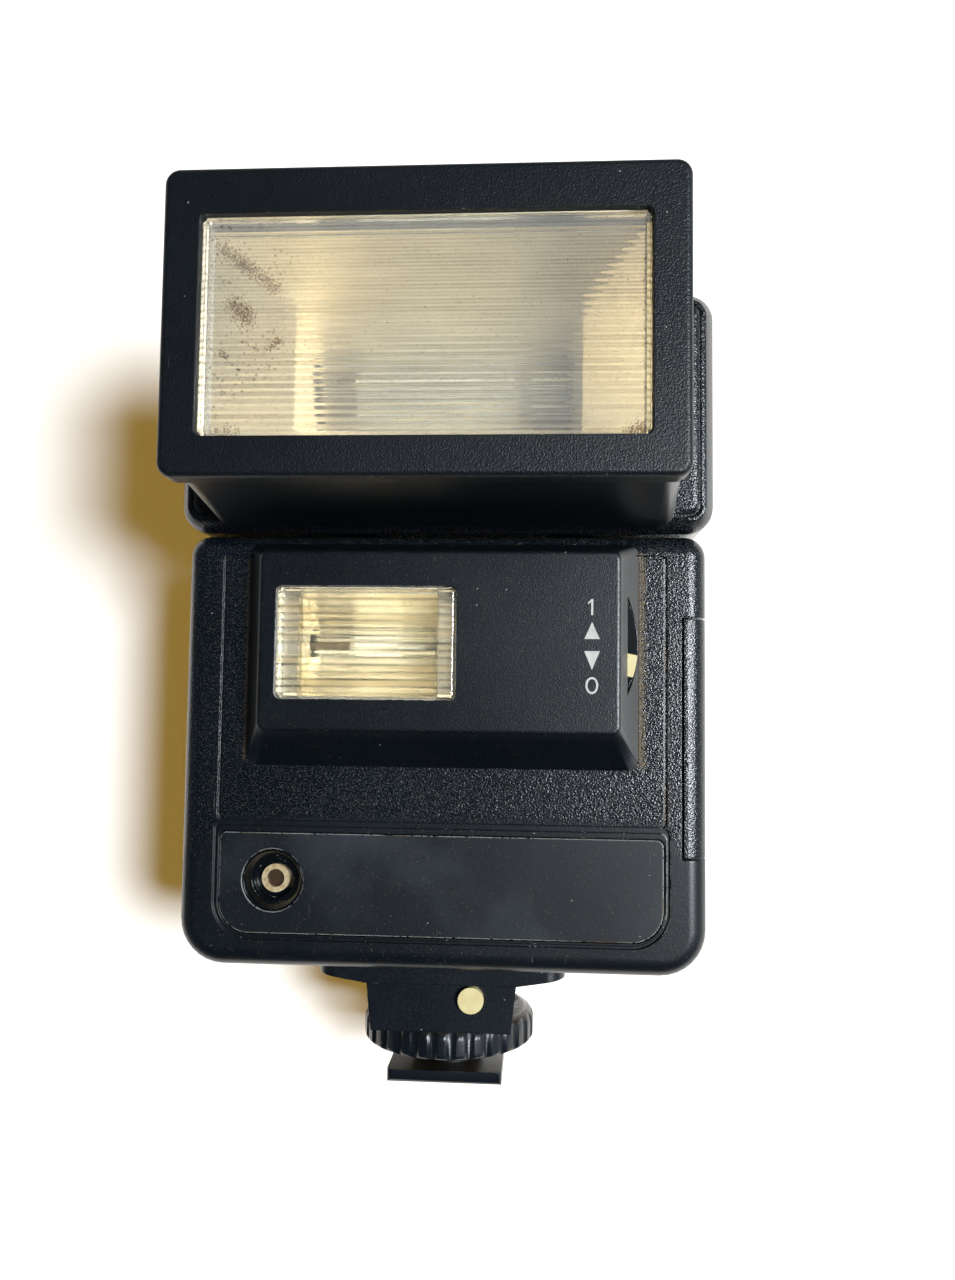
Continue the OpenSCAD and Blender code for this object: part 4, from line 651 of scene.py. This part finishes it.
# a merged copy of a solid; merge and slim in metres, flat and crease in degrees
copySet = {"merge": 2e-6, "slim": 1e-6, "flat": 0.5, "crease": 30.0, "flatLeast": 0.8}


def smoothCopy(node, material, c):
    shape = bmesh.new()
    shape.from_mesh(frame["nodes"][node].data)
    bmesh.ops.remove_doubles(shape, verts=shape.verts, dist=c["merge"])
    bmesh.ops.dissolve_degenerate(shape, edges=shape.edges, dist=c["slim"])
    bmesh.ops.dissolve_limit(shape, angle_limit=radians(c["flat"]), verts=shape.verts, edges=shape.edges)
    layer = shape.faces.layers.float.new("grain")
    for face in shape.faces:
        face[layer] = grainOf(node, face.calc_center_median(), face.normal, grainZones)
    mesh = bpy.data.meshes.new(node + "_shell")
    shape.to_mesh(mesh)
    shape.free()
    made = meshObject(node + "_shell", mesh, material)
    evenNormals(made, c["crease"])
    if slotOf[node] == "case_plastic":
        flatFaces(made, c["flatLeast"])
    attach(made, bodyOf[node])
    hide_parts(node)
    return made


# ribbed clear panels: a bevelled skin, a row of ribs on its back and a wall round them; sizes in mm
panels = {
    "main_lens": {"width": 56.6, "height": 28.2, "skin": 1.6, "rim": 0.6, "bevel": 0.5, "corner": 0.35,
                  "pitch": 0.94, "rise": 0.065, "finish": "lens_panel"},
    "fill_window": {"width": 26.4, "height": 16.3, "skin": 1.6, "rim": 0.6, "bevel": 0.5, "corner": 0.35,
                    "pitch": 1.05, "rise": 0.06, "finish": "window_panel"},
}
panelSet = {"columns": 4, "steps": 8, "extraRows": 3, "crease": 40.0, "edgeShare": 0.9999, "backFacing": 0.5}


def panelTree(s):
    lengths = ["Width", "Height", "Skin", "Rim", "Bevel", "Corner", "Pitch", "Rise", "Wall"]
    inputs = [(label, floatKind) for label in lengths]
    inputs += [("Columns", wholeKind), ("Rows", wholeKind), ("Place", vectorKind), ("Finish", finishKind)]
    tree, given, out = newGroup("ribbedPanel", inputs, [("Geometry", shapeKind)], "GeometryNodeTree")
    size = joined(tree, given["Width"], given["Skin"], given["Height"])
    block = addNode(tree, "GeometryNodeMeshCube", {"Size": size, "Vertices X": given["Columns"],
                                                   "Vertices Y": 2, "Vertices Z": given["Rows"]}).outputs["Mesh"]

    def position():
        return parts(tree, addNode(tree, "GeometryNodeInputPosition").outputs[0])

    def halfOf(value):
        return times(tree, value, 0.5)

    def beyond(value, limit):
        return sums(tree, "GREATER_THAN", sums(tree, "ABSOLUTE", value), limit)

    def onEdge(value, half):
        return beyond(value, times(tree, half, s["edgeShare"]))

    def inRim(value, half):
        return beyond(value, sums(tree, "SUBTRACT", half, given["Rim"]))

    def stepped(value, half, count, edge, otherEdge):
        inner = sums(tree, "SUBTRACT", half, given["Rim"])
        share = sums(tree, "SUBTRACT", 1.0, sums(tree, "DIVIDE", 2.0, sums(tree, "SUBTRACT", count, 1.0)))
        factor = sums(tree, "DIVIDE", inner, times(tree, half, share))
        inside = times(tree, sums(tree, "ABSOLUTE", value), factor)
        outside = sums(tree, "SUBTRACT", half, times(tree, given["Corner"], otherEdge))
        notEdge = sums(tree, "SUBTRACT", 1.0, edge)
        reach = sums(tree, "ADD", times(tree, outside, edge), times(tree, inside, notEdge))
        return times(tree, reach, sums(tree, "SIGN", value))

    at = position()
    halfW, halfH, halfSkin = halfOf(given["Width"]), halfOf(given["Height"]), halfOf(given["Skin"])
    edgeX, edgeZ = onEdge(at[0], halfW), onEdge(at[2], halfH)
    newX = stepped(at[0], halfW, given["Columns"], edgeX, edgeZ)
    newZ = stepped(at[2], halfH, given["Rows"], edgeZ, edgeX)
    edge = sums(tree, "MAXIMUM", edgeX, edgeZ)
    front = sums(tree, "SUBTRACT", times(tree, given["Bevel"], edge), halfSkin)
    run = sums(tree, "SUBTRACT", sums(tree, "ADD", newZ, halfH), given["Rim"])
    turn = sums(tree, "DIVIDE", times(tree, run, 2 * pi), given["Pitch"])
    wave = sums(tree, "MULTIPLY_ADD", sums(tree, "COSINE", turn), -0.5, 0.5)
    rib = times(tree, times(tree, wave, given["Rise"]), sums(tree, "SUBTRACT", 1.0, edge))
    back = sums(tree, "ADD", halfSkin, rib)
    isBack = sums(tree, "GREATER_THAN", at[1], 0.0)
    newY = sums(tree, "ADD", front, times(tree, isBack, sums(tree, "SUBTRACT", back, front)))
    spot = joined(tree, newX, newY, newZ)
    shaped = addNode(tree, "GeometryNodeSetPosition", {"Geometry": block, "Position": spot}).outputs[0]

    at = position()
    facing = parts(tree, addNode(tree, "GeometryNodeInputNormal").outputs[0])[1]
    rim = sums(tree, "MAXIMUM", inRim(at[0], halfW), inRim(at[2], halfH))
    ring = times(tree, rim, sums(tree, "GREATER_THAN", facing, s["backFacing"]))
    values = {"Mesh": shaped, "Selection": ring, "Offset": joined(tree, y=given["Wall"]), "Offset Scale": 1.0,
              "Individual": False}
    walled = addNode(tree, "GeometryNodeExtrudeMesh", values, mode="FACES").outputs[0]
    placed = addNode(tree, "GeometryNodeTransform", {"Geometry": walled, "Translation": given["Place"]})
    real = addNode(tree, "GeometryNodeRealizeInstances", {0: placed.outputs[0]}).outputs[0]
    done = addNode(tree, "GeometryNodeSetMaterial", {"Geometry": real, "Material": given["Finish"]})
    tree.links.new(done.outputs[0], out["Geometry"])
    return tree


def makePanel(node, p, s, tree):
    low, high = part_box(node)
    ribsTall = p["height"] - 2 * p["rim"]
    ribs = floor(ribsTall / p["pitch"])
    sizes = ("width", "height", "skin", "rim", "bevel", "corner", "rise")
    values = {key.capitalize(): p[key] * mm for key in sizes}
    values["Pitch"] = ribsTall / ribs * mm
    values["Wall"] = high.y - low.y - p["skin"] * mm
    values["Columns"], values["Rows"] = s["columns"], ribs * s["steps"] + s["extraRows"]
    values["Place"] = ((low.x + high.x) / 2, low.y + p["skin"] * mm / 2, (low.z + high.z) / 2)
    values["Finish"] = materials[p["finish"]]
    made = meshObject(node + "_panel", bpy.data.meshes.new(node + "_panel"), materials[p["finish"]])
    modifier = made.modifiers.new("ribs", "NODES")
    modifier.node_group = tree
    for item in tree.interface.items_tree:
        if item.in_out == "INPUT":
            modifier[item.identifier] = values[item.name]
    plainMesh(made)
    evenNormals(made, s["crease"])
    made.visible_shadow = False                         # lamp light reaches the reflector behind
    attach(made, bodyOf[node])
    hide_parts(node)
    print(made.name, len(made.data.polygons), "faces,", ribs, "ribs")


ribbedPanel = panelTree(panelSet)
for node, panel in panels.items():
    makePanel(node, panel, panelSet, ribbedPanel)

# pieces that show or nearly show get a smooth copy, the rest keep their solid; finishes other than the slot's
smoothNodes = ["front_case", "rear_case", "head_shell", "head_cover", "battery_door", "foot_block",
               "front_plate", "bezel", "fill_switch", "fill_index", "lock_wheel", "shoe_plate", "release_button",
               "sensor_funnel", "sensor_can", "power_switch", "mode_switch", "test_button", "main_reflector",
               "fill_reflector", "main_tube", "fill_tube", "main_electrodes", "fill_electrodes"]
finishOf = {"bezel": "bezel_plastic", "lock_wheel": "foot_plastic", "shoe_plate": "foot_plastic",
            "foot_block": "foot_plastic", "fill_switch": "gloss_plastic", "sensor_funnel": "gloss_plastic",
            "sensor_can": "gilt_ring", "fill_reflector": "fill_sheet", "main_electrodes": "electrode",
            "fill_electrodes": "electrode"}
# springs get a smooth copy with a mesh of their own; travel in mm
springs = {
    "button_spring": {"joint": "release_press", "axis": 1, "travel": 1.0},
    "contact_spring": {"joint": "contact_press", "axis": 2, "travel": 0.6},
}


def makeSpring(node):
    made = smoothCopy(node, materials[slotOf[node]], copySet)
    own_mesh(made)
    print(made.name, len(made.data.polygons), "faces")


for node, solid in frame["nodes"].items():
    if node in panels:
        continue
    if node in springs:
        makeSpring(node)
        continue
    finish = materials[finishOf.get(node, slotOf[node])]
    if node in smoothNodes:
        made = smoothCopy(node, finish, copySet)
        made.visible_shadow = slotOf[node] != "tube_glass"
    else:
        solid.data.materials.clear()
        solid.data.materials.append(finish)
print("solids dressed:", len(smoothNodes), "smooth copies")

# printed marks by the fill switch, in mm; pairs are heights on Z
marks = {"x": 22.4, "lift": 0.03, "one": (74.2, 76.55), "up": (70.74, 73.21), "down": (69.0, 66.27),
         "zero": (62.8, 65.26), "halfWidth": 1.12, "zeroHalf": 0.92, "stroke": 0.30, "flagOut": 0.62,
         "flagTop": 0.1, "flagDrop": 0.5, "ringSteps": 40}


def flatPiece(name, outlines, y, material):
    shape = bmesh.new()
    for outline in outlines:
        shape.faces.new([shape.verts.new(Vector((x, y, z)) * mm) for x, z in outline])
    bmesh.ops.recalc_face_normals(shape, faces=shape.faces)
    for face in shape.faces:
        if face.normal.y > 0:
            face.normal_flip()
    mesh = bpy.data.meshes.new(name)
    shape.to_mesh(mesh)
    shape.free()
    return meshObject(name, mesh, material)


def makeMarks(k):
    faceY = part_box("front_case")[0].y / mm - k["lift"]
    x, w, s = k["x"], k["halfWidth"], k["stroke"]
    left, right, flagX = x - s / 2, x + s / 2, x - k["flagOut"]
    low, high = k["one"]
    stem = [(left, low), (right, low), (right, high), (left, high)]
    flag = [(left, high - k["flagTop"]), (flagX, high - k["flagDrop"]), (flagX, high - k["flagDrop"] - s),
            (left, high - k["flagTop"] - s)]
    up = [(x - w, k["up"][0]), (x + w, k["up"][0]), (x, k["up"][1])]
    down = [(x - w, k["down"][0]), (x, k["down"][1]), (x + w, k["down"][0])]
    middle, tall, wide = sum(k["zero"]) / 2, (k["zero"][1] - k["zero"][0]) / 2, k["zeroHalf"]

    def onRing(i, inset):
        a = 2 * pi * i / k["ringSteps"]
        return x + (wide - inset) * cos(a), middle + (tall - inset) * sin(a)

    ring = [[onRing(i, 0), onRing(i + 1, 0), onRing(i + 1, s), onRing(i, s)] for i in range(k["ringSteps"])]
    made = flatPiece("switch_marks", [stem, flag, up, down, *ring], faceY, materials["print_white"])
    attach(made, "body")


makeMarks(marks)
print("marks printed")

# white sheet that the object lies on, seen from its front only; sizes in mm
sheetSet = {"y": 23.7, "half": 300, "colour": (0.93, 0.93, 0.93), "rough": 0.9, "fold": (9.0, 3.0),
            "foldTone": 0.97}


def makeSheet(s):
    half, y = s["half"] * mm, s["y"] * mm
    mesh = bpy.data.meshes.new("sheet")
    corners = [(-half, y, -half), (half, y, -half), (half, y, half), (-half, y, half)]
    mesh.from_pydata(corners, [], [(0, 1, 2, 3)])
    material, tree, shader = newMaterial("sheet_cloth")
    fold = noise(tree, objectSpot(tree), *s["fold"])
    dim = [s["foldTone"] * v for v in s["colour"]]
    tree.links.new(blendColours(tree, fold, rgba(s["colour"]), rgba(dim)), shader.inputs["Base Color"])
    shader.inputs["Roughness"].default_value = s["rough"]
    shader.inputs["Specular IOR Level"].default_value = 0.0
    clear = tree.nodes.new("ShaderNodeBsdfTransparent")
    behind = addNode(tree, "ShaderNodeNewGeometry").outputs["Backfacing"]
    side = addNode(tree, "ShaderNodeMixShader", {0: behind, 1: shader.outputs[0], 2: clear.outputs[0]})
    tree.links.new(side.outputs[0], tree.nodes["Material Output"].inputs["Surface"])
    sheet = meshObject("sheet", mesh, material)
    sheet.visible_shadow = False
    sheet.visible_diffuse = False
    return sheet


sheet = makeSheet(sheetSet)

# lamps; a direction from the aim in mm, distance and size in metres, power in watts
aim = Vector((0, -20, 65)) * mm
window = {"towards": (0.515, -0.857, 0.03), "distance": 1.2, "size": 0.36, "colour": (0.93, 0.98, 1.03)}
glints = {"distance": 1.2, "size": 0.16, "colour": (1.0, 0.96, 0.88)}
lamps = {
    "key": dict(window, power=17.5),
    "sheetKey": dict(window, power=9.0, glossy=False),
    "back": {"towards": (0.1, 1.0, 0.25), "distance": 1.2, "size": 0.7, "power": 12, "colour": (1, 1, 1)},
    "low": {"towards": (-0.5, -0.35, -0.8), "distance": 1.0, "size": 0.8, "power": 0.5, "colour": (1, 1, 1),
            "glossy": False},
    "glintHigh": dict(glints, towards=(-0.17, -0.88, 0.44), power=10.0),
    "glintLow": dict(glints, towards=(-0.10, -0.93, -0.36), power=6.0),
}
warmth = {"name": "sheetWarmth", "energy": 0.90, "colour": (1.0, 0.60, 0.09)}


def makeLamp(name, towards, distance, size, power, colour, glossy=True):
    data = bpy.data.lights.new(name, "AREA")
    data.shape, data.size, data.energy, data.color = "DISK", size, power, colour
    lamp = bpy.data.objects.new(name, data)
    scene.collection.objects.link(lamp)
    away = Vector(towards).normalized()
    lamp.location = aim + away * distance
    lamp.rotation_mode = "QUATERNION"
    lamp.rotation_quaternion = away.to_track_quat("Z", "Y")
    lamp.visible_camera = False
    lamp.visible_glossy = glossy
    lamp.visible_transmission = glossy
    return lamp


def makeWarmth(w):
    data = bpy.data.lights.new(w["name"], "SUN")
    data.energy, data.color, data.use_shadow = w["energy"], w["colour"], False
    lamp = bpy.data.objects.new(w["name"], data)
    lamp.rotation_euler = (radians(90), 0, 0)
    scene.collection.objects.link(lamp)
    return lamp


def linkLamp(lamp, state, receiver):
    group = bpy.data.collections.new(lamp.name + "_link")
    group.objects.link(receiver)
    for linked in group.collection_objects:
        linked.light_linking.link_state = state
    lamp.light_linking.receiver_collection = group


lit = {name: makeLamp(name, **lamp) for name, lamp in lamps.items()}
fillSheet = bpy.data.objects["fill_reflector_shell"]
lampLinks = [("back", "EXCLUDE", sheet), ("low", "EXCLUDE", sheet), ("sheetKey", "INCLUDE", sheet),
             ("glintHigh", "INCLUDE", fillSheet), ("glintLow", "INCLUDE", fillSheet)]
for name, state, receiver in lampLinks:
    linkLamp(lit[name], state, receiver)
linkLamp(makeWarmth(warmth), "INCLUDE", sheet)

# what gloss and glass see round them, by direction; plain white for the camera
# dim is how the front gets darker to the left, wide and narrow are how sharp each way's light is
roomLight = {"front": 0.15, "right": 0.60, "up": 0.20, "left": 0.15, "down": 0.02, "back": 0.5,
             "diffuse": 0.012, "colour": (0.88, 1.0, 1.13), "dim": (-0.34, 0.15, 0.1, 1.4),
             "wide": 2.0, "narrow": {"right": 3.6}}
roomWays = {"right": (0, 1), "left": (0, -1), "front": (1, -1), "back": (1, 1), "up": (2, 1), "down": (2, -1)}


def makeWorld(r):
    world = bpy.data.worlds.new("room")
    scene.world = world
    world.use_nodes = True
    tree = world.node_tree
    tree.nodes.clear()
    way = parts(tree, addNode(tree, "ShaderNodeTexCoord").outputs["Generated"])
    path = addNode(tree, "ShaderNodeLightPath").outputs
    total = 0.0
    for name, (axis, sign) in roomWays.items():
        part = sums(tree, "MAXIMUM", times(tree, way[axis], sign), 0.0)
        if name == "front":
            part = times(tree, part, mapTo(tree, way[0], *r["dim"]))
        part = sums(tree, "POWER", part, r["narrow"].get(name, r["wide"]))
        total = sums(tree, "ADD", total, times(tree, part, r[name]))
    strength = total
    for ray, level in (("Is Diffuse Ray", r["diffuse"]), ("Is Camera Ray", 1.0)):
        values = {0: path[ray], 2: strength, 3: level}
        strength = addNode(tree, "ShaderNodeMix", values, data_type="FLOAT").outputs[0]
    colour = blendColours(tree, path["Is Camera Ray"], rgba(r["colour"]), (1, 1, 1, 1))
    shade = addNode(tree, "ShaderNodeBackground", {"Color": colour, "Strength": strength})
    end = tree.nodes.new("ShaderNodeOutputWorld")
    tree.links.new(shade.outputs[0], end.inputs["Surface"])


makeWorld(roomLight)
print("stage lit")
